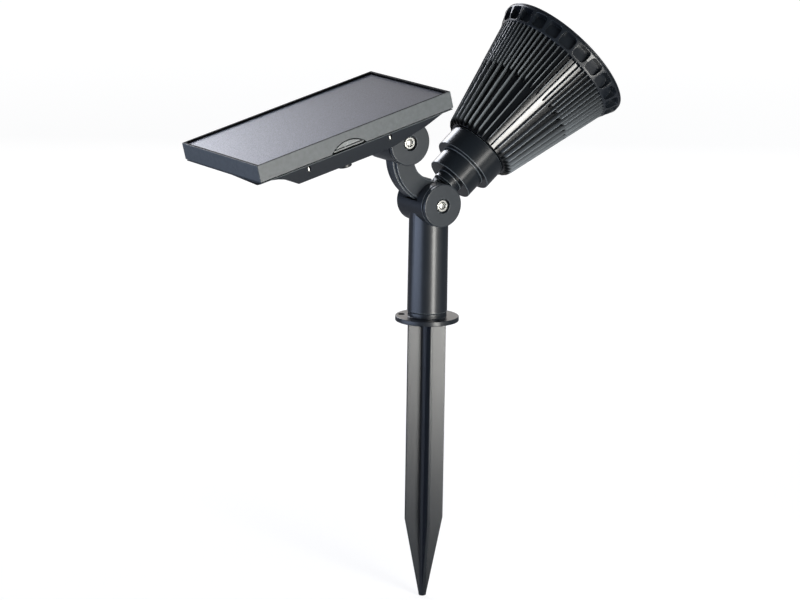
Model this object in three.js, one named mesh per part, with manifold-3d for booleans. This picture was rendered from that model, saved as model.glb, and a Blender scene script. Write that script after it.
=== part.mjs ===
// Solar garden light: a spotlight head and a solar panel carried on one post with a ground spike.
// Millimetres, +Z up. The origin lies on the post's axis at the underside of the base flange.
// Every pivot runs along Y. The head leans towards +X and the panel's arm leans towards -X.
import * as THREE from "three";
import { mergeVertices } from "three/addons/utils/BufferGeometryUtils.js";
import Module from "manifold-3d";

const wasm = await Module();
wasm.setup();

// Gaps and cutters
const GAP = 0.3; // left between two pieces that meet
const OVERRUN = 6; // how far a cutter runs past the piece it cuts
const ROOT = 1.2; // how deep a joined piece is sunk into its carrier

// Numbers of sides
const ROUND = 40;
const MIDDLE_ROUND = 30;
const SMALL_ROUND = 20;
const SCREW_ROUND = 10;
const CORNER_STEPS = 2;
const HEXAGON = 6;

// Ground spike
const FIN_REACH = 12.2; // from the axis to a fin's outer edge
const FIN_THICKNESS = 1.8;
const SPIKE_STRAIGHT = 127.4; // from the flange to the start of the taper
const SPIKE_LENGTH = 178.5;
const TIP_REACH = 2.1;
const SPIKE_CORE_RADIUS = 2.6;
const SPIKE_TURN_DEGREES = -18.5;
const PLUG_RADIUS = 8.6;
const PLUG_LENGTH = 20;
const PLUG_CHAMFER = 1.2;

// Base flange
const FLANGE_RADIUS = 19.8;
const FLANGE_THICKNESS = 3;
const FLANGE_CHAMFER = 0.4;
const COUNTERBORE_RADIUS = 12.6; // round the tops of the fins
const COUNTERBORE_DEPTH = 0.5;
const FLANGE_COLLAR_RADIUS = 12.1;
const FLANGE_COLLAR_HEIGHT = 2.9;
const SLEEVE_WALL = 1.2;
const SLEEVE_LENGTH = 18; // of the sleeve above the flange
const SCREW_HOLE_RADIUS = 2.1;
const SCREW_CIRCLE_RADIUS = 16;
const SCREW_HOLES = 3;
const FIRST_HOLE_DEGREES = 138;

// Post and lower drum
const PIVOT_HEIGHT = 74.7; // of the lower pivot above the origin
const POST_FOOT_RADIUS = 12.45;
const POST_HEAD_RADIUS = 12.15;
const POST_CHAMBER_HEIGHT = 46; // top of the hollow inside the post
const LOWER_DRUM_RADIUS = 13.4;
const LOWER_SLOT_DEGREES = [-50, 170];
const UPPER_DRUM_RADIUS = 13.9;
const UPPER_SLOT_DEGREES = [245, 369]; // seen in the rest pose

// Stack of a pivot, measured along Y from the front face of its cap
const DRUM_LENGTH = 32;
const CAP_THICKNESS = 2.4;
const CAP_GROOVE = 1.1; // shadow line between the cap and its drum
const CAP_EDGE = 0.5;
const SPIGOT_LENGTH = 3.2;
const SPIGOT_RADIUS = 10.9;
const SLOT_START = 10;
const SLOT_WIDTH = 11.5;
const LUG_RADIUS = 11.6;
const LUG_CLEARANCE = 0.4; // round a lug inside its slot
const WASHER_THICKNESS = 0.8;
const WASHER_RADIUS = 9.6;
const LAMP_LUG_THICKNESS = 4.6;
const BOLT_RADIUS = 2;
const BOLT_BORE_RADIUS = 2.3;
const BOLT_HEAD_RADIUS = 3.8;
const BOLT_HEAD_HEIGHT = 2.5;
const BOLT_END_DEPTH = 0.9; // of the bolt's end below the cap's face
const NUT_ACROSS_FLATS = 7;
const NUT_THICKNESS = 3.1;
const NUT_DEPTH = 0.6; // of the nut's face below the cap's face
const NUT_CHAMFER = 0.45;
const NUT_CLEARANCE = 0.25; // round the bolt
const RECESS_RADIUS = 4.9; // round a nut or a bolt head

// Arm, as a curved band about a centre that is given from the lower pivot
const UPPER_PIVOT_X = -24.6;
const UPPER_PIVOT_RISE = 41.1;
const ARM_CENTRE_X = 1.5;
const ARM_CENTRE_RISE = 30.6;
const ARM_OUTER_RADIUS = 30.5;
const ARM_INNER_RADIUS = 16.6;
const ARM_STEP_WIDTH = 1.1;
const ARM_STEP_DEPTH = 2.8;
const ARM_WALL = 2.4;
const ARM_BAND_DEGREES = [158, 264];
const ARM_CHANNEL_DEGREES = [197, 225];
const ARM_COVER_DEGREES = [185, 237];
const ARM_COVER_THICKNESS = 2.6;
const ARM_SCREW_DEGREES = [191, 231];
const DRUM_CLEARANCE = 0.5; // between a drum and what swings round it

// Small screws, each a head on a plain shank
const SCREW_HEAD_RADIUS = 2.6;
const SCREW_HEAD_HEIGHT = 1.6;
const SCREW_SHANK_RADIUS = 1.2;
const SCREW_WELL_CLEARANCE = 0.4;
const SCREW_BORE_CLEARANCE = 0.25;
const ARM_SCREW_LENGTH = 6;
const HATCH_SCREW_LENGTH = 5;
const LED_SCREW_LENGTH = 4;
const NECK_SCREW_LENGTH = 8;

// Solar panel, measured from the middle of its upper face
const PANEL_TILT_DEGREES = 14.3;
const PANEL_LENGTH = 138.7;
const PANEL_WIDTH = 89.4;
const PANEL_OFFSET = 51.6; // from the upper pivot back to the panel's middle
const PANEL_RISE = 32; // from the upper pivot up to the panel's upper face
const FRAME_HEIGHT = 10.4;
const FRAME_WALL = 2.2;
const FRAME_EDGE = 0.35;
const LIP_WIDTH = 1.3;
const LIP_HEIGHT = 1.2;
const CELL_THICKNESS = 1.2;
const LEDGE_WIDTH = 3.4;
const LEDGE_THICKNESS = 1.2;
const RIM_THICKNESS = 0.9; // of the back shell's rim under the frame
const RIM_INSET = 0.5;
const GASKET_WIDTH = 1.6;
const GASKET_HEIGHT = 1.7;

// Back shell, a tapered box under the frame
const SHELL_DEPTH = 10; // below its rim
const SHELL_WALL = 1.9;
const SHELL_MOUTH_HALF_WIDTH = 43.2;
const SHELL_FLOOR_HALF_WIDTH = 39.5;
const SHELL_LEFT_MARGIN = 2.5; // of the floor beside the battery hatch
const SHELL_RIGHT_MARGIN = 3.5;
const SHELL_LEFT_RAMP = 18.7;
const SHELL_KNEE_REACH = 25; // from the floor to where the right-hand ramp changes its slope
const SHELL_KNEE_DEPTH = 4.6;
const SHELL_RIGHT_RAMP = 37;
const WEB_BEHIND = 12.4; // reach of the drum's web, from the pivot towards the panel's middle
const WEB_AHEAD = 8;

// Side screws, which run along Y through the shell's walls into lugs of the frame
const SIDE_SCREW_PLACES = [-34.7, 23.6];
const SIDE_SCREW_DROP = 2.7; // of the screw's axis below the rim
const SIDE_HEAD_RADIUS = 1.9;
const SIDE_HEAD_HEIGHT = 0.9;
const SIDE_HEAD_REACH = 42.1; // of the head's face from the panel's middle
const SIDE_SHANK_RADIUS = 1;
const SIDE_SCREW_LENGTH = 6;
const SIDE_WELL_CLEARANCE = 0.35;
const LUG_HALF_LENGTH = 3.6;
const LUG_OUTSIDE = 39.2; // of a lug's outer face from the panel's middle
const LUG_INSIDE = 35.4;
const LUG_TAIL = 2.4; // of a lug below its screw's axis

// Half-moon insert in the frame's near side
const MOON_PLACE = -6.5;
const MOON_WIDTH = 25;
const MOON_HEIGHT = 5.4;
const MOON_RECESS = 0.9;
const MOON_THICKNESS = 1.1;
const MOON_SILL = 0.9;

// Battery hatch, holder and cells
const HATCH_PLACE = -9;
const HATCH_SIDE = 12;
const HATCH_SPARE = 13; // of the hatch's length beyond the holder's
const HATCH_WIDTH = 36;
const HATCH_CORNER = 3;
const HATCH_LEDGE_WIDTH = 1.8;
const HATCH_LEDGE_THICKNESS = 1.4;
const HATCH_SCREW_INSET = 3.7;
const HATCH_BOSS_RADIUS = 2.7;
const HATCH_BOSS_HEIGHT = 6;
const HATCH_HEAD_RADIUS = 2.1;
const BATTERY_RADIUS = 7;
const BATTERY_LENGTH = 42;
const BATTERY_PITCH = 14.4;
const BATTERY_TIP_RADIUS = 2.6;
const BATTERY_TIP_LENGTH = 1;
const BATTERIES = [-1, 1];
const HOLDER_SPARE = 6; // of the holder's length beyond a cell's
const HOLDER_WIDTH = 31.6;
const HOLDER_WALL = 1;
const HOLDER_FOOT = 1;
const CONTACT_THICKNESS = 0.5;
const CONTACT_HEIGHT = 9;
const HOLDER_LENGTH = BATTERY_LENGTH + HOLDER_SPARE;
const HATCH_LENGTH = HOLDER_LENGTH + HATCH_SPARE;
const SHELL_LEFT_FLOOR = HATCH_PLACE - HATCH_LENGTH / 2 - SHELL_LEFT_MARGIN;
const SHELL_RIGHT_FLOOR = HATCH_PLACE + HATCH_LENGTH / 2 + SHELL_RIGHT_MARGIN;
const SHELL_LEFT_MOUTH = SHELL_LEFT_FLOOR - SHELL_LEFT_RAMP;
const SHELL_KNEE = SHELL_RIGHT_FLOOR + SHELL_KNEE_REACH;
const SHELL_RIGHT_MOUTH = SHELL_RIGHT_FLOOR + SHELL_RIGHT_RAMP;

// Control board, push switch and power button
const BOARD_PLACE = -5;
const BOARD_SIDE = -24;
const BOARD_LENGTH = 47;
const BOARD_WIDTH = 24;
const BOARD_THICKNESS = 1.6;
const BOARD_HEIGHT = 5.4; // of its underside above the shell's floor
const STANDOFF_RADIUS = 2.6;
const STANDOFF_INSET = 4;
const CHIP_SIZE = [7, 6, 1.6];
const SOCKET_SIZE = [8, 5, 5];
const CHIP_SHARE = 0.22; // of the board's length, from its middle
const BUTTON_PLACE = -5;
const BUTTON_SIDE = -31.6;
const BUTTON_RADIUS = 4.4;
const BUTTON_PROUD = 3;
const BUTTON_EDGE = 0.7;
const BUTTON_FLANGE_RADIUS = 5.4;
const BUTTON_FLANGE_THICKNESS = 0.9;
const BUTTON_CLEARANCE = 0.25;
const BUTTON_TRAVEL = 0.8;
const SWITCH_SIZE = 6;
const SWITCH_PLUNGER_RADIUS = 1.7;
const SWITCH_PLUNGER_LENGTH = 0.7;

// Lamp head, measured along its axis from the lower pivot
const LAMP_ANGLE_DEGREES = 40;
const NECK_START = 13.95;
const NECK_SHOULDER = 15.2;
const COLLAR_START = 19.7;
const COLLAR_STEP = 32.2;
const COLLAR_END = 46.6;
const NECK_START_RADIUS = 7.2;
const NECK_RADIUS = 8.4;
const SMALL_COLLAR_RADIUS = 15.3;
const LARGE_COLLAR_RADIUS = 19.8;
const COLLAR_EDGE = 0.6;
const LAMP_WEB_HALF_WIDTH = 6.4;
const NECK_POCKET_RADIUS = 9.5;
const NECK_POCKET_START = 26;
const SEAL_OUTER_RADIUS = 17.5;
const SEAL_INNER_RADIUS = 15.9;
const SEAL_THICKNESS = 1;
const SEAL_CLEARANCE = 0.2;
const NECK_SCREWS = 3;
const NECK_SCREW_CIRCLE = 12.7;
const WIRE_HOLE_RADIUS = 3.2;

// Finned housing
const HOUSING_SIDES = 72;
const FIN_FOOT_RADIUS = 24.3;
const FIN_HEAD_RADIUS = 42;
const FIN_FOOT_EDGE = 1;
const FIN_END = 118;
const FIN_HEIGHT = 3.1;
const FIN_WIDTH = 1.25;
const LONG_FINS = 36;
const SHORT_FIN_START = 88;
const HOUSING_WALL = 2.4;
const HOUSING_FLOOR = 3;
const FLARE_WAIST = 122.4;
const FLARE_WAIST_RADIUS = 44.5;
const FLARE_SHOULDER = 127.2;
const FLARE_END = 128.3;
const RIM_RADIUS = 46.4;
const POCKETS = 24;
const POCKET_WIDTH = 9.2;
const POCKET_CORNER = 2.6;
const POCKET_FROM = 119.2;
const POCKET_TO = 127;
const POCKET_FLOOR_RADIUS = 41.2;
const SHELF_HEIGHT = 107; // where the LED board rests
const SHELF_RADIUS = 29.8;
const SHELF_THICKNESS = 2;
const SHELF_TAPER = 4;
const CHAMBER_RADIUS = 36;
const CHAMBER_START = 116.4;
const SEAT_HEIGHT = 122.6; // where the lens gasket rests
const SEAT_RADIUS = 38.9;

// Optics
const LED_BOARD_RADIUS = 33.2;
const LED_BOARD_THICKNESS = 2;
const LEDS = 4;
const LED_CIRCLE = 16.4;
const LED_SIZE = 5;
const LED_BASE_HEIGHT = 0.9;
const LED_DOME_RADIUS = 1.9;
const LED_DOME_HEIGHT = 0.8;
const LED_SCREWS = 2;
const LED_SCREW_CIRCLE = 27.4;
const LED_BOSS_RADIUS = 3;
const LED_BOSS_HEIGHT = 6;
const REFLECTOR_FOOT_RADIUS = 22.3;
const REFLECTOR_HEAD_RADIUS = 28.6;
const REFLECTOR_RADIUS = 35.6;
const REFLECTOR_RIM = 1.4;
const BOWL_RADII = [3.9, 6.6, 8.6, 9.9, 10.7];
const BOWL_SHARES = [0, 0.2, 0.45, 0.72, 1]; // of the bowl's depth, one for each radius
const GASKET_INNER_RADIUS = 35;
const LENS_RADIUS = 38.5;
const LENS_GASKET_THICKNESS = 0.9;
const LENS_THICKNESS = 2.2;
const LENS_CROWN = 1;
const CROWN_SHARES = [[0.9, 0.2], [0.7, 0.55], [0.4, 0.88]]; // of the lens's radius, of its crown
const BEZEL_TOP = 131;
const BEZEL_INNER_RADIUS = 36.6;
const BEZEL_LIP_RADIUS = 38.5;
const BEZEL_EDGE = 0.9;

// Finishes
function finish(color, roughness, metalness) {
  return new THREE.MeshStandardMaterial({ color, roughness, metalness });
}

const BLACK_ABS = finish(0x23272c, 0.5, 0);
const GLOSS_ABS = finish(0x1c2025, 0.3, 0);
const RUBBER = finish(0x1a1a1b, 0.85, 0);
const STEEL = finish(0xc8c9c6, 0.25, 1);
const CELL_SHEET = finish(0x7c8098, 0.4, 0.1);
const SMOKED = finish(0x7f8486, 0.3, 0);
const BOARD_GREEN = finish(0x1f5a38, 0.5, 0);
const BOARD_WHITE = finish(0xe6e6e2, 0.5, 0.1);
const LED_YELLOW = finish(0xf0d774, 0.35, 0);
const CHROMED = finish(0xdadcde, 0.12, 1);
const CLEAR = finish(0xdfe8ee, 0.08, 0);
const BATTERY_SLEEVE = finish(0x2f6fb0, 0.35, 0);
const BLACK_CHIP = finish(0x17181a, 0.45, 0);
const WHITE_NYLON = finish(0xe9e7df, 0.55, 0);

// Solids
const radians = THREE.MathUtils.degToRad;

function solid(geometry) {
  const bare = geometry.clone();
  bare.deleteAttribute("normal");
  bare.deleteAttribute("uv");
  const merged = mergeVertices(bare, 1e-4);
  const vertProperties = new Float32Array(merged.attributes.position.array);
  const triVerts = new Uint32Array(merged.index.array);
  return new wasm.Manifold(new wasm.Mesh({ numProp: 3, vertProperties, triVerts }));
}

function join(first, ...others) {
  return others.reduce((sum, next) => sum.add(next), first);
}

function cut(first, ...cutters) {
  return cutters.reduce((rest, cutter) => rest.subtract(cutter), first);
}

function geometryOf(body) {
  const mesh = body.getMesh();
  const geometry = new THREE.BufferGeometry();
  geometry.setAttribute("position", new THREE.BufferAttribute(new Float32Array(mesh.vertProperties), 3));
  geometry.setIndex(new THREE.BufferAttribute(new Uint32Array(mesh.triVerts), 1));
  const faceted = geometry.toNonIndexed();
  faceted.computeVertexNormals();
  return faceted;
}

// A node of the assembly: one named mesh.
function piece(group, name, body, material) {
  const mesh = new THREE.Mesh(geometryOf(body), material);
  mesh.name = name;
  group.add(mesh);
}

// A block between two corners.
function block(low, high) {
  const size = high.map((top, axis) => top - low[axis]);
  const middle = high.map((top, axis) => (top + low[axis]) / 2);
  return solid(new THREE.BoxGeometry(...size).translate(...middle));
}

// A body turned about Z from a profile of [radius, height] points.
function turned(profile, sides = ROUND, place = [0, 0, 0]) {
  const points = profile.map(([radius, height]) => new THREE.Vector2(radius, height));
  return solid(new THREE.LatheGeometry(points, sides).rotateX(Math.PI / 2).translate(...place));
}

// A round bar along Z.
function bar(radius, from, to, sides = SMALL_ROUND, place = [0, 0, 0]) {
  return turned([[0, from], [radius, from], [radius, to], [0, to]], sides, place);
}

// A profile of [radius, height] points turned about a pivot's axis, heights running from the front.
function turnedOnPivot(profile, sides = ROUND) {
  const points = profile.map(([radius, depth]) => new THREE.Vector2(radius, depth));
  return solid(new THREE.LatheGeometry(points, sides).translate(0, -DRUM_LENGTH / 2, 0));
}

// A round bar on a pivot's axis, between two depths from the front.
function pivotBar(radius, from, to, sides = ROUND) {
  return turnedOnPivot([[0, from], [radius, from], [radius, to], [0, to]], sides);
}

// An outline of [x, z] points extruded along Y between two depths from a pivot's front.
function pivotPrism(outline, from, to) {
  return prismAlongY(outline, from - DRUM_LENGTH / 2, to - DRUM_LENGTH / 2);
}

function prismAlongY(outline, from, to) {
  const shape = new THREE.Shape(outline.map(([x, z]) => new THREE.Vector2(x, z)));
  const geometry = new THREE.ExtrudeGeometry(shape, { depth: to - from, bevelEnabled: false });
  return solid(geometry.rotateX(Math.PI / 2).translate(0, to, 0));
}

// An outline of [y, z] points extruded along X.
function prismAlongX(outline, from, to) {
  const shape = new THREE.Shape(outline.map(([y, z]) => new THREE.Vector2(y, z)));
  const geometry = new THREE.ExtrudeGeometry(shape, { depth: to - from, bevelEnabled: false });
  return solid(geometry.rotateX(Math.PI / 2).rotateZ(Math.PI / 2).translate(from, 0, 0));
}

// An outline of [x, y] points extruded along Z.
function prismAlongZ(outline, from, to) {
  const shape = new THREE.Shape(outline.map(([x, y]) => new THREE.Vector2(x, y)));
  const geometry = new THREE.ExtrudeGeometry(shape, { depth: to - from, bevelEnabled: false });
  return solid(geometry.translate(0, 0, from));
}

// Points of an arc between two angles in degrees.
function arc(centre, radius, from, to, steps) {
  return Array.from({ length: steps + 1 }, (_, step) => {
    const angle = radians(from + ((to - from) * step) / steps);
    return [centre[0] + radius * Math.cos(angle), centre[1] + radius * Math.sin(angle)];
  });
}

// A rectangle with rounded corners about a middle.
function roundedRectangle(middle, length, width, corner) {
  const x = length / 2 - corner;
  const y = width / 2 - corner;
  const places = [[x, y], [-x, y], [-x, -y], [x, -y]];
  return places.flatMap(([dx, dy], index) =>
    arc([middle[0] + dx, middle[1] + dy], corner, 90 * index, 90 * (index + 1), CORNER_STEPS));
}

function rotatedAboutZ(body, degrees) {
  return solid(geometryOf(body).rotateZ(radians(degrees)));
}

// A screw along Z whose head starts at a height; direction 1 points its shank up.
function screw(place, headHeight, length, direction) {
  const shankEnd = headHeight + direction * (SCREW_HEAD_HEIGHT + length);
  const seat = headHeight + direction * SCREW_HEAD_HEIGHT;
  const root = seat - direction * SCREW_HEAD_HEIGHT / 2;
  const between = (radius, one, other) =>
    bar(radius, Math.min(one, other), Math.max(one, other), SCREW_ROUND, place);
  return join(between(SCREW_HEAD_RADIUS, headHeight, seat), between(SCREW_SHANK_RADIUS, root, shankEnd));
}

function screwBore(place, from, to) {
  return bar(SCREW_SHANK_RADIUS + SCREW_BORE_CLEARANCE, from, to, SCREW_ROUND, place);
}

function screwWell(place, from, to) {
  return bar(SCREW_HEAD_RADIUS + SCREW_WELL_CLEARANCE, from, to, SCREW_ROUND, place);
}

// Depths in the stack of a pivot
const DRUM_FACE = CAP_THICKNESS + CAP_GROOVE;
const SPIGOT_END = DRUM_FACE + SPIGOT_LENGTH;
const SPIGOT_POCKET_END = SPIGOT_END + GAP;
const SLOT_END = SLOT_START + SLOT_WIDTH;
const SLOT_RADIUS = LUG_RADIUS + LUG_CLEARANCE;
const LAMP_LUG_END = SLOT_END - GAP;
const LAMP_LUG_START = LAMP_LUG_END - LAMP_LUG_THICKNESS;
const LOWER_WASHER_END = LAMP_LUG_START - GAP;
const LOWER_WASHER_START = LOWER_WASHER_END - WASHER_THICKNESS;
const ARM_FRONT = SLOT_START + GAP;
const ARM_BACK = SLOT_END - GAP;
const ARM_LUG_END = LOWER_WASHER_START - GAP;
const UPPER_WASHER_START = ARM_BACK - WASHER_THICKNESS;
const UPPER_LUG_END = UPPER_WASHER_START - GAP;
const HEAD_SEAT = DRUM_LENGTH - GAP - BOLT_HEAD_HEIGHT;

// What a drum loses: its slot, its bore, the cap's pocket and the bolt head's recess.
function drumCutters(drumRadius, slotDegrees) {
  const [start, end] = slotDegrees;
  const halfStep = radians((end - start) / SMALL_ROUND / 2);
  const reach = (drumRadius + DRUM_CLEARANCE) / Math.cos(halfStep);
  const fan = [[0, 0], ...arc([0, 0], reach, start, end, SMALL_ROUND)];
  return [
    pivotBar(SLOT_RADIUS, SLOT_START, SLOT_END),
    pivotPrism(fan, SLOT_START, SLOT_END),
    pivotBar(BOLT_BORE_RADIUS, -OVERRUN, DRUM_LENGTH + OVERRUN, SCREW_ROUND),
    pivotBar(SPIGOT_RADIUS + GAP, DRUM_FACE - OVERRUN, SPIGOT_POCKET_END),
    pivotBar(RECESS_RADIUS, HEAD_SEAT - GAP, DRUM_LENGTH + OVERRUN, SMALL_ROUND),
  ];
}

// Disc with a nut recess that closes a drum's front.
function jointCap(drumRadius) {
  const floor = NUT_DEPTH + NUT_THICKNESS + GAP;
  return turnedOnPivot([
    [BOLT_BORE_RADIUS, floor],
    [RECESS_RADIUS, floor],
    [RECESS_RADIUS, 0],
    [drumRadius - CAP_EDGE, 0],
    [drumRadius, CAP_EDGE],
    [drumRadius, CAP_THICKNESS],
    [SPIGOT_RADIUS, CAP_THICKNESS],
    [SPIGOT_RADIUS, SPIGOT_END],
    [BOLT_BORE_RADIUS, SPIGOT_END],
    [BOLT_BORE_RADIUS, floor],
  ]);
}

function pivotNut() {
  const corner = NUT_ACROSS_FLATS / 2 / Math.cos(Math.PI / HEXAGON);
  const blank = pivotBar(corner, NUT_DEPTH, NUT_DEPTH + NUT_THICKNESS, HEXAGON);
  const chamfered = turnedOnPivot([
    [0, NUT_DEPTH],
    [corner - NUT_CHAMFER, NUT_DEPTH],
    [corner, NUT_DEPTH + NUT_CHAMFER],
    [corner, NUT_DEPTH + NUT_THICKNESS],
    [0, NUT_DEPTH + NUT_THICKNESS],
  ], SMALL_ROUND);
  const bore = pivotBar(BOLT_RADIUS + NUT_CLEARANCE, -OVERRUN, DRUM_LENGTH, SCREW_ROUND);
  return cut(blank.intersect(chamfered), bore);
}

function pivotBolt() {
  return turnedOnPivot([
    [0, BOLT_END_DEPTH],
    [BOLT_RADIUS - NUT_CHAMFER, BOLT_END_DEPTH],
    [BOLT_RADIUS, BOLT_END_DEPTH + NUT_CHAMFER],
    [BOLT_RADIUS, HEAD_SEAT],
    [BOLT_HEAD_RADIUS, HEAD_SEAT],
    [BOLT_HEAD_RADIUS, HEAD_SEAT + BOLT_HEAD_HEIGHT - NUT_CHAMFER],
    [BOLT_HEAD_RADIUS - NUT_CHAMFER, HEAD_SEAT + BOLT_HEAD_HEIGHT],
    [0, HEAD_SEAT + BOLT_HEAD_HEIGHT],
  ], SMALL_ROUND);
}

function frictionWasher(start) {
  const end = start + WASHER_THICKNESS;
  return turnedOnPivot([
    [BOLT_BORE_RADIUS, start],
    [WASHER_RADIUS, start],
    [WASHER_RADIUS, end],
    [BOLT_BORE_RADIUS, end],
    [BOLT_BORE_RADIUS, start],
  ], MIDDLE_ROUND);
}

// Ground spike: two crossed fins round a thin core, with a plug on top
function groundSpike() {
  const tongue = PLUG_RADIUS - PLUG_CHAMFER;
  const tongueTop = PLUG_LENGTH - PLUG_CHAMFER;
  const finTop = COUNTERBORE_DEPTH - GAP;
  const outline = [
    [FIN_REACH, finTop],
    [tongue, finTop],
    [tongue, tongueTop],
    [-tongue, tongueTop],
    [-tongue, finTop],
    [-FIN_REACH, finTop],
    [-FIN_REACH, -SPIKE_STRAIGHT],
    [-TIP_REACH, -SPIKE_LENGTH],
    [TIP_REACH, -SPIKE_LENGTH],
    [FIN_REACH, -SPIKE_STRAIGHT],
  ];
  const blade = prismAlongY(outline, -FIN_THICKNESS / 2, FIN_THICKNESS / 2);
  const core = turned([
    [0, -SPIKE_LENGTH],
    [TIP_REACH, -SPIKE_LENGTH],
    [SPIKE_CORE_RADIUS, -SPIKE_STRAIGHT],
    [SPIKE_CORE_RADIUS, tongueTop],
    [0, tongueTop],
  ], SCREW_ROUND);
  const plug = turned([
    [0, 0],
    [PLUG_RADIUS, 0],
    [PLUG_RADIUS, PLUG_LENGTH - PLUG_CHAMFER],
    [PLUG_RADIUS - PLUG_CHAMFER, PLUG_LENGTH],
    [0, PLUG_LENGTH],
  ], MIDDLE_ROUND);
  const cross = join(blade, rotatedAboutZ(blade, 90), core, plug);
  return rotatedAboutZ(cross, SPIKE_TURN_DEGREES);
}

// Base flange with its collar and the sleeve that joins spike and post
const SOCKET_RADIUS = PLUG_RADIUS + GAP;
const SLEEVE_RADIUS = SOCKET_RADIUS + SLEEVE_WALL;
const COLLAR_TOP = FLANGE_THICKNESS + FLANGE_COLLAR_HEIGHT;

function baseFlange() {
  const body = turned([
    [SOCKET_RADIUS, COUNTERBORE_DEPTH],
    [COUNTERBORE_RADIUS, COUNTERBORE_DEPTH],
    [COUNTERBORE_RADIUS, 0],
    [FLANGE_RADIUS - FLANGE_CHAMFER, 0],
    [FLANGE_RADIUS, FLANGE_CHAMFER],
    [FLANGE_RADIUS, FLANGE_THICKNESS - FLANGE_CHAMFER],
    [FLANGE_RADIUS - FLANGE_CHAMFER, FLANGE_THICKNESS],
    [FLANGE_COLLAR_RADIUS, FLANGE_THICKNESS],
    [FLANGE_COLLAR_RADIUS, COLLAR_TOP],
    [SLEEVE_RADIUS, COLLAR_TOP],
    [SLEEVE_RADIUS, FLANGE_THICKNESS + SLEEVE_LENGTH],
    [SOCKET_RADIUS, FLANGE_THICKNESS + SLEEVE_LENGTH],
    [SOCKET_RADIUS, COUNTERBORE_DEPTH],
  ]);
  const holes = Array.from({ length: SCREW_HOLES }, (_, index) => {
    const angle = radians(FIRST_HOLE_DEGREES + (index * 360) / SCREW_HOLES);
    const place = [SCREW_CIRCLE_RADIUS * Math.cos(angle), SCREW_CIRCLE_RADIUS * Math.sin(angle), 0];
    return bar(SCREW_HOLE_RADIUS, -OVERRUN, COLLAR_TOP, SMALL_ROUND, place);
  });
  return cut(body, ...holes);
}

// Post with the drum of the lower pivot, whose slot opens upwards
function post() {
  const chamber = SLEEVE_RADIUS + GAP;
  const tube = turned([
    [0, POST_CHAMBER_HEIGHT - PIVOT_HEIGHT],
    [chamber, POST_CHAMBER_HEIGHT - PIVOT_HEIGHT],
    [chamber, COLLAR_TOP + GAP - PIVOT_HEIGHT],
    [POST_FOOT_RADIUS, COLLAR_TOP + GAP - PIVOT_HEIGHT],
    [POST_HEAD_RADIUS, -ROOT],
    [0, -ROOT],
  ]);
  const drum = pivotBar(LOWER_DRUM_RADIUS, DRUM_FACE, DRUM_LENGTH);
  return cut(join(tube, drum), ...drumCutters(LOWER_DRUM_RADIUS, LOWER_SLOT_DEGREES));
}

// Arm
const ARM_CENTRE = [ARM_CENTRE_X, ARM_CENTRE_RISE];

function armBand(inset, degrees, from, to) {
  const steps = Math.ceil((degrees[1] - degrees[0]) / (360 / ROUND));
  const outer = arc(ARM_CENTRE, ARM_OUTER_RADIUS - inset, degrees[0], degrees[1], steps);
  const inner = arc(ARM_CENTRE, ARM_INNER_RADIUS + inset, degrees[1], degrees[0], steps);
  return pivotPrism([...outer, ...inner], from, to);
}

function shiftedToUpperPivot(body) {
  return solid(geometryOf(body).translate(UPPER_PIVOT_X, 0, UPPER_PIVOT_RISE));
}

// Place of an arm screw, with its axis along Y.
function armScrewPlace(degrees) {
  const radius = (ARM_OUTER_RADIUS + ARM_INNER_RADIUS) / 2;
  return arc(ARM_CENTRE, radius, degrees, degrees, 1)[0];
}

function alongArmScrew(body, degrees) {
  const [x, z] = armScrewPlace(degrees);
  return solid(geometryOf(body).rotateX(Math.PI / 2).translate(x, ARM_BACK - DRUM_LENGTH / 2, z));
}

function armBody() {
  const stepEnd = ARM_FRONT + ARM_STEP_DEPTH;
  const front = armBand(ARM_STEP_WIDTH, ARM_BAND_DEGREES, ARM_FRONT, stepEnd + ROOT);
  const back = armBand(0, ARM_BAND_DEGREES, stepEnd, ARM_BACK);
  const coverSeat = ARM_BACK - ARM_COVER_THICKNESS - GAP;
  const spread = (GAP / ARM_INNER_RADIUS) * (180 / Math.PI);
  const seatDegrees = [ARM_COVER_DEGREES[0] - spread, ARM_COVER_DEGREES[1] + spread];
  const lowerClearance = pivotBar(LOWER_DRUM_RADIUS + DRUM_CLEARANCE, ARM_LUG_END, DRUM_LENGTH);
  const upperClearance = shiftedToUpperPivot(pivotBar(SLOT_RADIUS, UPPER_LUG_END, DRUM_LENGTH));
  const band = cut(join(front, back), lowerClearance, upperClearance);
  const lowerLug = pivotBar(LUG_RADIUS, ARM_FRONT, ARM_LUG_END);
  const upperLug = shiftedToUpperPivot(pivotBar(LUG_RADIUS, ARM_FRONT, UPPER_LUG_END));
  const bore = pivotBar(BOLT_BORE_RADIUS, -OVERRUN, DRUM_LENGTH + OVERRUN, SCREW_ROUND);
  const seat = armBand(-OVERRUN, seatDegrees, coverSeat, ARM_BACK + OVERRUN);
  const channel = armBand(ARM_WALL, ARM_CHANNEL_DEGREES, ARM_FRONT + ARM_WALL, ARM_BACK);
  const screwHoles = ARM_SCREW_DEGREES.map((degrees) =>
    alongArmScrew(screwBore([0, 0, 0], -OVERRUN, ARM_SCREW_LENGTH + SCREW_HEAD_HEIGHT + GAP), degrees));
  return cut(join(band, lowerLug, upperLug), bore, shiftedToUpperPivot(bore), seat, channel, ...screwHoles);
}

function armRearCover() {
  const plate = armBand(0, ARM_COVER_DEGREES, ARM_BACK - ARM_COVER_THICKNESS, ARM_BACK);
  const holes = ARM_SCREW_DEGREES.map((degrees) => alongArmScrew(join(
    screwWell([0, 0, 0], -OVERRUN, SCREW_HEAD_HEIGHT + GAP),
    screwBore([0, 0, 0], 0, ARM_COVER_THICKNESS + OVERRUN),
  ), degrees));
  return cut(plate, ...holes);
}

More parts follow.
